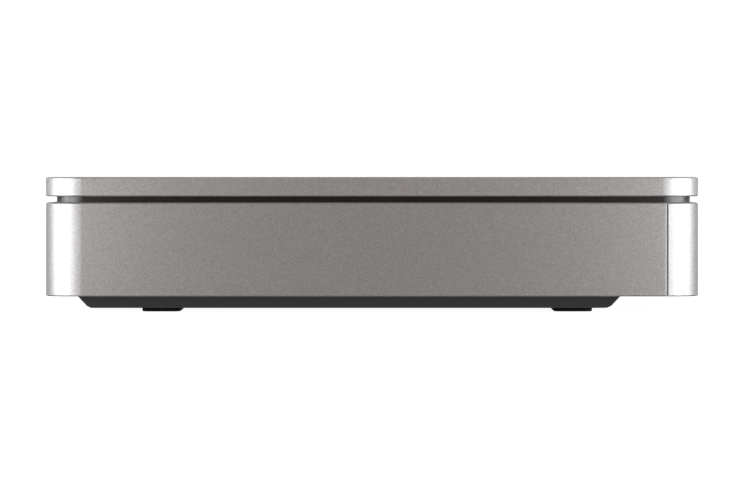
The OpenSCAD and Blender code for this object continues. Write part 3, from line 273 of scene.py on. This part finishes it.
# Power inlet: a nylon block on the board's rear edge. A nickel-plated sleeve lines its mouth for
# one pole, and the blade in its middle carries a gold strip on both faces for the other.
CORNER_STEPS = 4
INLET_W, INLET_H, INLET_MIDDLE = 11.2, 5.2, 4.0
INLET_DEPTH = 9.0
INLET_BLADE_T = 1.4
SLEEVE_WALL = 0.3
SLEEVE_IN = 0.5
SLEEVE_OUTER_R, SLEEVE_INNER_R = 0.4, 0.2
GOLD_W, GOLD_T = 2.4, 0.1
GOLD_X = 1.6
GOLD_FROM, GOLD_TO = 1.5, 8.5
FIT = 0.03


def rounded_outline(width, height, middle, radius, shift=0.0, foot=1.0):
    """Rounded oblong as points of x and z, anticlockwise: a quarter arc of the radius at each corner,
    centred in by that radius. Below the middle height x shrinks evenly to the foot's share at the bottom."""
    quarter = np.arange(4)[:, None] * np.pi / 2
    angle = quarter + np.linspace(0, np.pi / 2, CORNER_STEPS)
    x = np.array([[1], [-1], [-1], [1]]) * (width / 2 - radius) + radius * np.cos(angle)
    z = np.array([[1], [1], [-1], [-1]]) * (height / 2 - radius) + radius * np.sin(angle)
    narrowed = np.interp(z, (-height / 2, 0), (foot, 1.0))
    return np.stack([(x * narrowed).ravel() + shift, z.ravel() + middle], axis=1)


def ringed(outlines, depths):
    """Rings from outlines: an outline gives x and z, and its depth into the socket is y."""
    outlines = np.asarray(outlines)
    depth = np.broadcast_to(np.asarray(depths)[:, None], outlines.shape[:2])
    return np.stack([outlines[..., 0], depth, outlines[..., 1]], axis=-1)


def bent(section, line, middles=(0.0,)):
    """Copies of a section carried along a bent line of depths and heights, one at each middle across.
    A ring's point is the line's point, plus the section's u across and its v along the line's normal."""
    section = np.asarray(section, float)
    line = np.asarray(line, float)
    along = np.gradient(line, axis=0)
    along /= np.linalg.norm(along, axis=1, keepdims=True)
    normal = np.stack([-along[:, 1], along[:, 0]], axis=1)
    depth_height = line[:, None, :] + section[None, :, 1:] * normal[:, None, :]
    across = np.asarray(middles)[:, None, None] + section[None, None, :, 0]
    shape = (len(middles), len(line), len(section))
    return np.concatenate([
        np.broadcast_to(across, shape)[..., None],
        np.broadcast_to(depth_height, (*shape, 2)),
    ], axis=-1)


def strip(width, thick):
    """Section of a flat strip, anticlockwise."""
    return np.array([(-1, -1), (1, -1), (1, 1), (-1, 1)]) * (width / 2, thick / 2)


def seated(rings, mouth, turned=False):
    """From a socket's own millimetres (x across, y inwards, z up from the board) to the part's metres:
    turned half round for the rear edge, then set at the middle of the mouth."""
    way = np.array([-1, -1, 1]) if turned else np.ones(3)
    return rings * way * MM + np.asarray(mouth)


def rear_mouth(name):
    """Middle of a rear socket's mouth, at the board's level."""
    low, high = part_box(name)
    return ((low[0] + high[0]) / 2, high[1], low[2])


def new_piece(name, rings, material, looped=False, smooth=False):
    """Piece of closed skins, given as copies of rings of points. Quads join each ring to the next. The first
    and last rings are capped, or joined to each other where the skin is looped. It rides on the chassis."""
    rings = rings.reshape(-1, *rings.shape[-3:])
    copies, count, points = rings.shape[:3]
    grid = np.arange(count * points).reshape(count, points)
    near, far = (grid, np.roll(grid, -1, axis=0)) if looped else (grid[:-1], grid[1:])
    quads = np.stack([near, far, np.roll(far, -1, axis=1), np.roll(near, -1, axis=1)], axis=-1)
    first = np.arange(copies)[:, None] * count * points
    faces = (first[..., None] + quads.reshape(-1, 4)).reshape(-1, 4).tolist()
    if not looped:
        faces += (first + grid[0]).tolist() + (first + grid[-1][::-1]).tolist()
    mesh = bpy.data.meshes.new(name)
    mesh.from_pydata(rings.reshape(-1, 3).tolist(), [], faces)
    mesh.polygons.foreach_set("use_smooth", np.full(len(faces), smooth))
    mesh.materials.append(material)
    made = bpy.data.objects.new(name, mesh)
    bpy.context.scene.collection.objects.link(made)
    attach(made, "chassis")


def sleeve(outline, inner, start, end):
    """Open sleeve between two outlines: inside from back to front, over the lip, outside to the back."""
    return ringed([inner, inner, outline, outline], (end, start, start, end))


dress(black_nylon, "power_inlet")
inlet_sleeve = sleeve(
    rounded_outline(INLET_W - FIT, INLET_H - FIT, INLET_MIDDLE, SLEEVE_OUTER_R),
    rounded_outline(INLET_W - 2 * SLEEVE_WALL, INLET_H - 2 * SLEEVE_WALL, INLET_MIDDLE, SLEEVE_INNER_R),
    SLEEVE_IN, INLET_DEPTH - FIT,
)
inlet_mouth = rear_mouth("power_inlet")
new_piece("inlet_sleeve", seated(inlet_sleeve, inlet_mouth, True), nickel_steel, looped=True)

# Gold plating: a thin bright flash over nickel, a little streaked by the bath.
gold_flash = grained_finish(
    "gold_flash_plating", ("#B58B3A", "#D9B25E"), grain_mm=0.5, rough=(0.18, 0.3), relief_mm=0.001,
    metallic=1.0,
)
inlet_contacts = np.concatenate([
    bent(strip(GOLD_W, GOLD_T), [(GOLD_FROM, level), (GOLD_TO, level)], (-GOLD_X, GOLD_X))
    for level in (INLET_MIDDLE - INLET_BLADE_T / 2, INLET_MIDDLE + INLET_BLADE_T / 2)
])
new_piece("inlet_contacts", seated(inlet_contacts, inlet_mouth, True), gold_flash)


# Wide-topped picture socket: a folded nickel-plated shell round a moulded insert. The insert's
# tongue carries ten gold contacts above and nine below.
SKIN = 0.05
NOSE = 0.25
TONGUE_IN = 1.2
INSERT_WALL = 0.4
MOULD_R = 0.15
CONTACT_T = 0.08
CONTACT_IN = 0.2
PICTURE_DEPTH = 9.0
PICTURE_PITCH = 1.0
PICTURE_CONTACT_W = 0.45
HDMI_ABOVE, HDMI_BELOW = 10, 9
HDMI_ROOM = dict(width=14.0, height=4.6, middle=2.8, foot=0.72)
HDMI_TONGUE = dict(width=11.2, height=1.0, middle=3.1)


def grown(outline, by):
    """Rounded outline of the given sizes, larger by the same amount on every side."""
    sizes = dict(outline)
    sizes["width"] += 2 * by
    sizes["height"] += 2 * by
    return rounded_outline(radius=sizes.pop("radius", MOULD_R), **sizes)


def insert(room, tongue, depth):
    """Moulded insert of a socket, over the solid tongue by SKIN: the tongue's nose tapers by NOSE, its
    sides run straight back, and at its root the outline steps out to a wall that closes the room."""
    outlines = [grown(tongue, SKIN - NOSE), grown(tongue, SKIN), grown(tongue, SKIN)]
    outlines += [grown(room, -FIT), grown(room, -FIT)]
    nose, root = TONGUE_IN - SKIN, depth - INSERT_WALL
    return ringed(outlines, (nose - NOSE, nose, root, root, depth - FIT))


def row(count, pitch):
    """Middles of a row of things a pitch apart, with the row's own middle at 0."""
    return (np.arange(count) - (count - 1) / 2) * pitch


def tongue_contacts(tongue, side, count, pitch, width, depth):
    """Row of flat contacts on one face of a tongue, let half of their thickness into its skin."""
    level = tongue["middle"] + side * (tongue["height"] / 2 + SKIN)
    line = [(TONGUE_IN + CONTACT_IN, level), (depth - INSERT_WALL, level)]
    return bent(strip(width, CONTACT_T), line, tongue.get("shift", 0.0) + row(count, pitch))


dress(nickel_steel, "hdmi_port")
hdmi_mouth = rear_mouth("hdmi_port")
new_piece("hdmi_insert", seated(insert(HDMI_ROOM, HDMI_TONGUE, PICTURE_DEPTH), hdmi_mouth, True),
          black_nylon)
hdmi_contacts = np.concatenate([
    tongue_contacts(HDMI_TONGUE, side, count, PICTURE_PITCH, PICTURE_CONTACT_W, PICTURE_DEPTH)
    for side, count in ((1, HDMI_ABOVE), (-1, HDMI_BELOW))
])
new_piece("hdmi_contacts", seated(hdmi_contacts, hdmi_mouth, True), gold_flash)


# Picture socket with one cut corner: the same build, a little wider, with ten contacts on each
# face of its tongue.
DPORT_ROOM = dict(width=15.2, height=4.0, middle=2.5, foot=0.75)
DPORT_TONGUE = dict(width=12.4, height=1.0, middle=2.7, shift=0.2)
DPORT_COUNT = 10

dress(nickel_steel, "display_port")
dport_mouth = rear_mouth("display_port")
new_piece("display_port_insert", seated(insert(DPORT_ROOM, DPORT_TONGUE, PICTURE_DEPTH), dport_mouth, True),
          black_nylon)
dport_contacts = np.concatenate([
    tongue_contacts(DPORT_TONGUE, side, DPORT_COUNT, PICTURE_PITCH, PICTURE_CONTACT_W, PICTURE_DEPTH)
    for side in (-1, 1)
])
new_piece("display_port_contacts", seated(dport_contacts, dport_mouth, True), gold_flash)


# Rear data sockets: two rooms, one over the other, in one folded shell. In each a moulded tongue
# carries four sprung gold contacts under it, and two leaves of the shell grip the plug from below.
STACK_DEPTH = 11.0
STACK_ROOM = dict(width=12.4, height=5.0)
STACK_LEVELS = (3.85, 11.55)
STACK_TONGUE_UP = 0.9
STACK_TONGUE_H = 1.6
DATA_TONGUE_W = 10.6
DATA_CONTACT_XS = (-3.5, -1.0, 1.0, 3.5)
SPRING_W, SPRING_T = 1.0, 0.16
SPRING_DROPS = ((5.4, 0.0), (4.6, 0.35), (3.7, 0.6), (2.9, 0.3))
LEAF_XS = (-3.2, 3.2)
LEAF_W, LEAF_T = 1.8, 0.18
LEAF_RISES = ((8.6, 0.02), (6.5, 0.3), (4.6, 0.62), (3.6, 0.62), (2.6, 0.28))


def sprung_contacts(under, depth):
    """Contacts under a tongue: flat along its underside, then bowed down towards the mouth and up again.
    SPRING_DROPS gives the bow's depths in the socket and how far it drops there."""
    line = [(depth - INSERT_WALL, under)] + [(inward, under - drop) for inward, drop in SPRING_DROPS]
    return bent(strip(SPRING_W, SPRING_T), line, DATA_CONTACT_XS)


def shell_leaves(floor):
    """Grip leaves cut from a shell's floor: rising towards the mouth, then turned down to lead the plug
    in. LEAF_RISES gives their depths in the socket and how far they rise there."""
    line = [(inward, floor + rise) for inward, rise in LEAF_RISES]
    return bent(strip(LEAF_W, LEAF_T), line, LEAF_XS)


dress(nickel_steel, "usb_stack_rear")
stack_mouth = rear_mouth("usb_stack_rear")
stack_tongues = [
    dict(width=DATA_TONGUE_W, height=STACK_TONGUE_H, middle=level + STACK_TONGUE_UP)
    for level in STACK_LEVELS
]
stack_inserts = np.stack([
    insert(dict(STACK_ROOM, middle=level), tongue, STACK_DEPTH)
    for level, tongue in zip(STACK_LEVELS, stack_tongues)
])
new_piece("rear_data_inserts", seated(stack_inserts, stack_mouth, True), black_nylon)
stack_contacts = np.concatenate([
    sprung_contacts(tongue["middle"] - tongue["height"] / 2 - SKIN, STACK_DEPTH) for tongue in stack_tongues
])
new_piece("rear_data_contacts", seated(stack_contacts, stack_mouth, True), gold_flash)
stack_leaves = np.concatenate([shell_leaves(level - STACK_ROOM["height"] / 2) for level in STACK_LEVELS])
new_piece("rear_data_leaves", seated(stack_leaves, stack_mouth, True), nickel_steel)


# Network socket: a moulded nylon body in a folded shell, with a notch below for the plug's latch.
# Eight gold wires slope down and back from the room's ceiling.
NETWORK_DEPTH = 13.0
NETWORK_HALF, NETWORK_STEP, NETWORK_CEILING = 5.9, 3.6, 11.8
NOTCH_HALF, NOTCH_BOTTOM = 3.2, 1.2
NETWORK_WALL, NETWORK_BACK = 0.6, 0.4
LIP_INSET, LIP_IN, LIP_SIDE_IN, LIP_SLOPE_IN = 0.25, 0.3, 0.45, 0.8
WIRE_COUNT = 8
WIRE_PITCH = 1.02
WIRE_R = 0.24
WIRE_SIDES = 8
WIRE_LINE = ((9.8, 7.0), (6.0, 8.9), (3.2, 10.3), (2.2, 10.7), (1.6, 10.9), (1.5, 11.15))


def network_outline(inset):
    """Outline of the network plug's room, in by an inset: a wide room over the latch's narrow notch."""
    half, step, ceiling = NETWORK_HALF - inset, NETWORK_STEP + inset, NETWORK_CEILING - inset
    notch, bottom = NOTCH_HALF - inset, NOTCH_BOTTOM + inset
    return np.array([
        (-notch, bottom), (notch, bottom), (notch, step), (half, step),
        (half, ceiling), (-half, ceiling), (-half, step), (-notch, step),
    ])


def circle(count):
    """Points evenly round a circle of radius 1, anticlockwise: the cosine and the sine of each turn."""
    turn = np.linspace(0, 2 * np.pi, count, endpoint=False)
    return np.stack([np.cos(turn), np.sin(turn)], axis=1)


dress(nickel_steel, "ethernet_port")
network_mouth = rear_mouth("ethernet_port")
network_insets = (NETWORK_WALL, NETWORK_WALL, LIP_INSET, FIT, FIT)
network_depths = (NETWORK_DEPTH - NETWORK_BACK, LIP_SLOPE_IN, LIP_IN, LIP_SIDE_IN, NETWORK_DEPTH - FIT)
network_body = ringed([network_outline(inset) for inset in network_insets], network_depths)
new_piece("network_body", seated(network_body, network_mouth, True), black_nylon)
network_wires = bent(WIRE_R * circle(WIRE_SIDES), WIRE_LINE, row(WIRE_COUNT, WIRE_PITCH))
new_piece("network_wires", seated(network_wires, network_mouth, True), gold_flash,
          smooth=True)


# Front data sockets: two single shells of the same build as the rear pair. Five gold pads at the
# tongue's nose are for the fast lines, and four sprung contacts lie behind them.
FRONT_W, FRONT_DEPTH = 13.1, 10.5
FRONT_ROOM = dict(width=12.3, height=4.9, middle=2.85)
FRONT_TONGUE = dict(width=DATA_TONGUE_W, height=1.7, middle=3.9)
PAD_COUNT, PAD_PITCH = 5, 2.0
PAD_W = 0.7
PAD_IN, PAD_TO = 0.1, 2.2

dress(nickel_steel, "usb_a_front")
low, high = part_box("usb_a_front")
front_mouths = [(x, low[1], low[2]) for x in (low[0] + FRONT_W / 2 * MM, high[0] - FRONT_W / 2 * MM)]


def at_both(rings):
    """One socket's rings, set at both front mouths."""
    return np.concatenate([seated(rings.reshape(-1, *rings.shape[-3:]), mouth) for mouth in front_mouths])


front_inserts = insert(FRONT_ROOM, FRONT_TONGUE, FRONT_DEPTH)
new_piece("front_data_inserts", at_both(front_inserts), black_nylon)
front_under = FRONT_TONGUE["middle"] - FRONT_TONGUE["height"] / 2 - SKIN
front_contacts = sprung_contacts(front_under, FRONT_DEPTH)
new_piece("front_data_contacts", at_both(front_contacts), gold_flash)
pad_line = [(TONGUE_IN + PAD_IN, front_under), (PAD_TO, front_under)]
front_pads = bent(strip(PAD_W, CONTACT_T), pad_line, row(PAD_COUNT, PAD_PITCH))
new_piece("front_data_pads", at_both(front_pads), gold_flash)
front_floor = FRONT_ROOM["middle"] - FRONT_ROOM["height"] / 2
new_piece("front_data_leaves", at_both(shell_leaves(front_floor)), nickel_steel)


# Small round-ended data socket: a deep-drawn shell with a thin tongue in its middle, which has
# twelve contacts on each face.
USB_C_DEPTH = 6.5
USB_C_ROOM = dict(width=8.3, height=2.6, middle=1.6, radius=1.2)
USB_C_TONGUE = dict(width=6.7, height=0.7, middle=1.6)
USB_C_COUNT, USB_C_PITCH = 12, 0.5
USB_C_CONTACT_W = 0.26

dress(nickel_steel, "usb_c_front")
low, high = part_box("usb_c_front")
usb_c_mouth = ((low[0] + high[0]) / 2, low[1], low[2])
new_piece("small_data_insert", seated(insert(USB_C_ROOM, USB_C_TONGUE, USB_C_DEPTH), usb_c_mouth),
          black_nylon)
usb_c_contacts = np.concatenate([
    tongue_contacts(USB_C_TONGUE, side, USB_C_COUNT, USB_C_PITCH, USB_C_CONTACT_W, USB_C_DEPTH)
    for side in (-1, 1)
])
new_piece("small_data_contacts", seated(usb_c_contacts, usb_c_mouth), gold_flash)


# Headphone jack: a nylon body with a round nose. A turned, nickel-plated ferrule lines its bore
# and laps over the nose.
JACK_MIDDLE = 3.0
FERRULE_R = 1.79
FERRULE_WALL = 0.04
FERRULE_LIP_R = 2.3
FERRULE_DEPTH = 6.0
FERRULE_PROUD = 0.14
FERRULE_FLARE = 0.1
FERRULE_BEVEL, FERRULE_BEVEL_TO = 0.08, 0.06
FERRULE_OFF = 0.01
FERRULE_SIDES = 48

dress(black_nylon, "audio_jack")
low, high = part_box("audio_jack")
jack_mouth = ((low[0] + high[0]) / 2, low[1], low[2])
ferrule_radii = np.array([
    FERRULE_R - FERRULE_WALL, FERRULE_R - FERRULE_WALL, FERRULE_R + FERRULE_FLARE,
    FERRULE_LIP_R - FERRULE_BEVEL, FERRULE_LIP_R, FERRULE_LIP_R, FERRULE_R, FERRULE_R,
])
ferrule_depths = (
    FERRULE_DEPTH, FERRULE_FLARE, -FERRULE_PROUD, -FERRULE_PROUD,
    -FERRULE_BEVEL_TO, -FERRULE_OFF, -FERRULE_OFF, FERRULE_DEPTH,
)
ferrule_outlines = circle(FERRULE_SIDES) * ferrule_radii[:, None, None] + (0.0, JACK_MIDDLE)
ferrule = ringed(ferrule_outlines, ferrule_depths)
new_piece("jack_ferrule", seated(ferrule, jack_mouth), nickel_steel, looped=True)


# Cold plate and heat pipes: a milled copper plate over the processor, held down by four screws on
# its arms, with two flattened copper pipes soldered to it. Bare copper tarnishes in brown clouds.
drawn_copper = grained_finish(
    "drawn_copper", ("#94532F", "#C4825A"), grain_mm=2.4, rough=(0.2, 0.38), relief_mm=0.004,
    metallic=1.0,
)
dress(drawn_copper, "cold_plate", "heat_pipes")
dress(zinc_steel, "heatsink_screws")


# Fin stack: thin sheets of rolled aluminium soldered to the pipes' ends, in the blower's outlet.
# Rolling streaks the sheet along its length.
rolled_aluminium = grained_finish(
    "rolled_aluminium", ("#A9ACAF", "#C3C6C9"), grain_mm=0.5, rough=(0.25, 0.38), relief_mm=0.003,
    metallic=1.0, stretch=(1, 0.1, 1),
)
dress(rolled_aluminium, "fin_stack")


# Blower: a nylon scroll housing with the motor's copper windings on its post. The impeller is
# moulded in one piece and has a ferrite magnet ring in its cup, and a sheet cover closes it.
dress(black_nylon, "fan_housing")
dress(drawn_copper, "fan_motor")
impeller_nylon = grained_finish(
    "polished_black_nylon", ("#141416", "#232325"), grain_mm=0.5, rough=(0.3, 0.42), relief_mm=0.004,
)
dress(impeller_nylon, "fan_rotor")
dress(sintered_ferrite, "rotor_magnet")
dress(rolled_aluminium, "fan_cover")
dress(zinc_steel, "fan_screws")


# Rear plates: a socket plate, a small power panel and the exhaust grille, pressed from steel sheet
# and powder coated black. The coat melts to a fine orange-peel skin.
black_powder_coat = grained_finish(
    "black_powder_coat", ("#191A1B", "#262728"), grain_mm=0.7, rough=(0.38, 0.5), relief_mm=0.015,
)
dress(black_powder_coat, "power_panel", "rear_io_plate", "exhaust_grille")


# Front bezel: the body's end cap in the same blasted aluminium, wrapped round both front corners
# and clipped on behind the seam by its tongues.
dress(silver_aluminium, "front_bezel")


# Power button: an aluminium cap, faced on a lathe, so that fine rings run round its middle. It
# pushes an ivory acetal plunger, and a nylon cup behind the bezel guides both.
RING_MM = 0.3
GROOVE_MM = 0.003
button_low, button_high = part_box("power_button")
button_middle = (button_low + button_high) / 2
turned_aluminium, tree, shader, place = begin_finish("turned_aluminium", metallic=1.0)
centred = add_node(tree, "ShaderNodeMapping", {"Location": -button_middle}, {"Vector": place})
rings = add_node(tree, "ShaderNodeTexWave", {"Scale": WAVE_TURNS / (RING_MM * MM)},
                 {"Vector": centred.outputs["Vector"]}, wave_type="RINGS", rings_direction="Y")
tree.links.new(two_tones(tree, rings.outputs["Fac"], "#A39D9A", "#B9B4B1"), shader.inputs["Base Color"])
tree.links.new(raised(tree, rings.outputs["Fac"], GROOVE_MM), shader.inputs["Normal"])
shader.inputs["Roughness"].default_value = 0.38
dress(turned_aluminium, "power_button")
ivory_acetal = grained_finish(
    "ivory_acetal", ("#D3CFC3", "#E0DCD1"), grain_mm=0.5, rough=(0.35, 0.45), relief_mm=0.004,
)
dress(ivory_acetal, "switch_plunger")
dress(black_nylon, "button_guide")


# Status light pipe: a bent rod of clear acrylic that carries the light from the board to a small
# hole in the bezel. Its polish is a little hazy.
HAZE_MM = 0.8
HAZE_ROUGH = (0.08, 0.2)
clear_acrylic, tree, shader, place = begin_finish("clear_acrylic", metallic=0.0, ior=1.49)
shader.inputs["Base Color"].default_value = linear("#E6EEF2")
shader.inputs["Transmission Weight"].default_value = 0.9
haze = add_node(tree, "ShaderNodeTexNoise", {"Scale": 1 / (HAZE_MM * MM)}, {"Vector": place})
tree.links.new(between(tree, haze.outputs["Fac"], HAZE_ROUGH), shader.inputs["Roughness"])
dress(clear_acrylic, "status_light_pipe")


# Recessed ring: black ABS, moulded with a fine texture. It is let into the body and carries the
# lid, so that the lid seems to float over a dark gap.
ring_abs = grained_finish(
    "textured_black_abs", ("#020202", "#0C0C0C"), grain_mm=0.4, rough=(0.28, 0.4), relief_mm=0.08,
    ior=1.57,
)
ring_abs.node_tree.nodes["Principled BSDF"].inputs["Specular Tint"].default_value = linear("#FFF8F0")
dress(ring_abs, "vent_frame")


# Lid: a shallow aluminium pan of the body's finish, with painted light: its greys are a shade lighter than
# the body's, so that the top reads brighter.
# Steel bosses are riveted under its top, and four screws hold it down to the ring.
# Painted light: the same blasted finish as the body, with both greys made a shade lighter.
lid_painted_lighter_aluminium = blasted_aluminium("bead_blasted_lid_aluminium_painted_lighter", "#96928E", "#BBB7B3")
dress(lid_painted_lighter_aluminium, "top_lid")
dress(zinc_steel, "lid_bosses", "lid_screws")


# Base: a dark grey ABS tray with sloping sides, moulded with a fine spark-eroded texture. It is
# screwed up into the body's floor and takes in air through its round grille.
base_abs = grained_finish(
    "textured_dark_abs", ("#1D1C1C", "#282727"), grain_mm=0.55, rough=(0.45, 0.6), relief_mm=0.012,
    ior=1.42,
)
dress(base_abs, "base_cover")
dress(zinc_steel, "base_screws")


# Rubber feet: four moulded pads, pressed into pockets in the base. Carbon black makes the rubber
# matt and nearly without a highlight.
foot_rubber = grained_finish(
    "moulded_black_rubber", ("#030303", "#070707"), grain_mm=0.6, rough=(0.8, 0.95), relief_mm=0.02,
    ior=1.3,
)
dress(foot_rubber, "rubber_feet")


# Floor: a pale seamless sheet that glows a little, as a light table does, so that the part stands
# on white. It isn't mirrored in the metal, where the darker sides of the room are seen instead.
FLOOR_RADIUS = 30.0
FLOOR_SIDES = 96
floor_mesh = bpy.data.meshes.new("pale_floor")
rim = np.pad(FLOOR_RADIUS * circle(FLOOR_SIDES), ((0, 0), (0, 1)))
floor_mesh.from_pydata(rim.tolist(), [], [list(range(len(rim)))])
floor = bpy.data.objects.new("pale_floor", floor_mesh)
bpy.context.scene.collection.objects.link(floor)
pale_paper, _, shader, _ = begin_finish("pale_paper", metallic=0.0)
shader.inputs["Base Color"].default_value = linear("#5A5A5A")
shader.inputs["Roughness"].default_value = 0.9
shader.inputs["Emission Color"].default_value = linear("#FFFFFF")
shader.inputs["Emission Strength"].default_value = 0.95
floor_mesh.materials.append(pale_paper)
floor.visible_glossy = False


# Room: a white studio whose sides below the eye's level are darker. The ramp runs from straight
# down, through level, to straight up.
NADIR, SIDES, LEVEL, ZENITH = 0.5, 0.12, 1.02, 0.5
SIDES_FROM, SIDES_TO = 0.2, 0.475
LEVEL_FROM, LEVEL_TO = 0.497, 0.75
world = bpy.data.worlds.new("white_studio")
world.use_nodes = True
sky = world.node_tree
heading = add_node(sky, "ShaderNodeTexCoord").outputs["Generated"]
height = add_node(sky, "ShaderNodeSeparateXYZ", links={"Vector": heading}).outputs["Z"]
share = add_node(sky, "ShaderNodeMapRange", {"From Min": -1.0, "From Max": 1.0}, {"Value": height})
shades = add_node(sky, "ShaderNodeValToRGB", links={"Fac": share.outputs["Result"]})
ramp = shades.color_ramp
ramp.elements[0].color = (NADIR, NADIR, NADIR, 1.0)
ramp.elements[1].color = (ZENITH, ZENITH, ZENITH, 1.0)
room_stops = ((SIDES_FROM, SIDES), (SIDES_TO, SIDES), (LEVEL_FROM, LEVEL), (LEVEL_TO, LEVEL))
for stop, strength in room_stops:
    ramp.elements.new(stop).color = (strength, strength, strength, 1.0)
sky.links.new(shades.outputs["Color"], sky.nodes["Background"].inputs["Color"])
bpy.context.scene.world = world
bpy.context.scene.view_settings.view_transform = "Standard"


# Lamps: low strips at both ends of the long side light its round corners, their edges and the ends
# of the flat, and one more lights the far side. A brown cloth behind the camera dims the flat's middle.
STRIP_Z = 0.029
STRIP_H = 0.055


def strip_lamp(name, place, aim, length, watts, tint):
    """Low soft strip at a place on the floor plan, turned to face a point, hidden from the camera."""
    lamp = bpy.data.lights.new(name, "AREA")
    lamp.shape = "RECTANGLE"
    lamp.size = length
    lamp.size_y = STRIP_H
    lamp.energy = watts
    lamp.color = linear(tint)[:3]
    made = bpy.data.objects.new(name, lamp)
    made.location = (*place, STRIP_Z)
    made.rotation_euler = (Vector((*aim, STRIP_Z)) - made.location).to_track_quat("-Z", "Y").to_euler()
    made.visible_camera = False
    bpy.context.scene.collection.objects.link(made)


for end, side in (("front", -1), ("rear", 1)):
    strip_lamp(
        f"{end}_corner_strip", place=(-0.22, side * 0.327), aim=(-0.08, side * 0.056),
        length=0.36, watts=1.23, tint="#EBF4FF",
    )
    strip_lamp(
        f"{end}_edge_strip", place=(-0.17, side * 0.118), aim=(-0.0975, side * 0.088),
        length=0.03, watts=0.0122, tint="#EEF6FF",
    )
    strip_lamp(
        f"{end}_fill_strip", place=(-0.42, side * 0.31), aim=(-0.09, side * 0.085),
        length=0.12, watts=0.07, tint="#FFD9B6",
    )
strip_lamp("far_side_strip", place=(0.42, 0.0), aim=(0.09, 0.0), length=0.18, watts=0.5, tint="#F0F6FF")

CLOTH_X, CLOTH_HALF, CLOTH_TOP = -2.4, 1.6, 1.2
cloth_mesh = bpy.data.meshes.new("brown_cloth")
cloth_mesh.from_pydata([
    (CLOTH_X, -CLOTH_HALF, 0.0), (CLOTH_X, CLOTH_HALF, 0.0),
    (CLOTH_X, CLOTH_HALF, CLOTH_TOP), (CLOTH_X, -CLOTH_HALF, CLOTH_TOP),
], [], [(0, 1, 2, 3)])
cloth = bpy.data.objects.new("brown_cloth", cloth_mesh)
bpy.context.scene.collection.objects.link(cloth)
cloth.visible_camera = False
brown_cloth, _, shader, _ = begin_finish("brown_cloth", metallic=0.0)
shader.inputs["Base Color"].default_value = linear("#744B2A")
shader.inputs["Roughness"].default_value = 0.9
cloth_mesh.materials.append(brown_cloth)


# Camera: level with the lid on the part's long side, far enough off for nearly parallel lines.
# Its frame is the photograph's, 750 by 480 pixels, and it is set by the lid's place in that frame.
PHOTO_W = 750
PHOTO_MIDDLE_ROW = 240.0
EYE_ROW = 179.0
LID_TOP_ROW = 177.0
LID_MIDDLE = 372.0
LID_PIXELS = 652.05
CAMERA_AWAY = 1.4
SENSOR = 36.0
CORNER_RADIUS = 11 * MM
lid_low, lid_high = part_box("top_lid")
metres_per_pixel = (lid_high[1] - lid_low[1]) / LID_PIXELS * CAMERA_AWAY / (CAMERA_AWAY + CORNER_RADIUS)
camera = bpy.data.cameras.new("side_camera")
camera.sensor_fit = "HORIZONTAL"
camera.sensor_width = SENSOR
camera.lens = SENSOR * CAMERA_AWAY / (PHOTO_W * metres_per_pixel)
camera.shift_y = (EYE_ROW - PHOTO_MIDDLE_ROW) / PHOTO_W
camera.dof.use_dof = False
camera.clip_end = 100
viewer = bpy.data.objects.new("side_camera", camera)
viewer.location = (
    lid_low[0] - CAMERA_AWAY,
    -(PHOTO_W / 2 - LID_MIDDLE) * metres_per_pixel,
    lid_high[2] + (LID_TOP_ROW - EYE_ROW) * metres_per_pixel,
)
viewer.rotation_euler = (math.pi / 2, 0, -math.pi / 2)
bpy.context.scene.collection.objects.link(viewer)
bpy.context.scene.camera = viewer
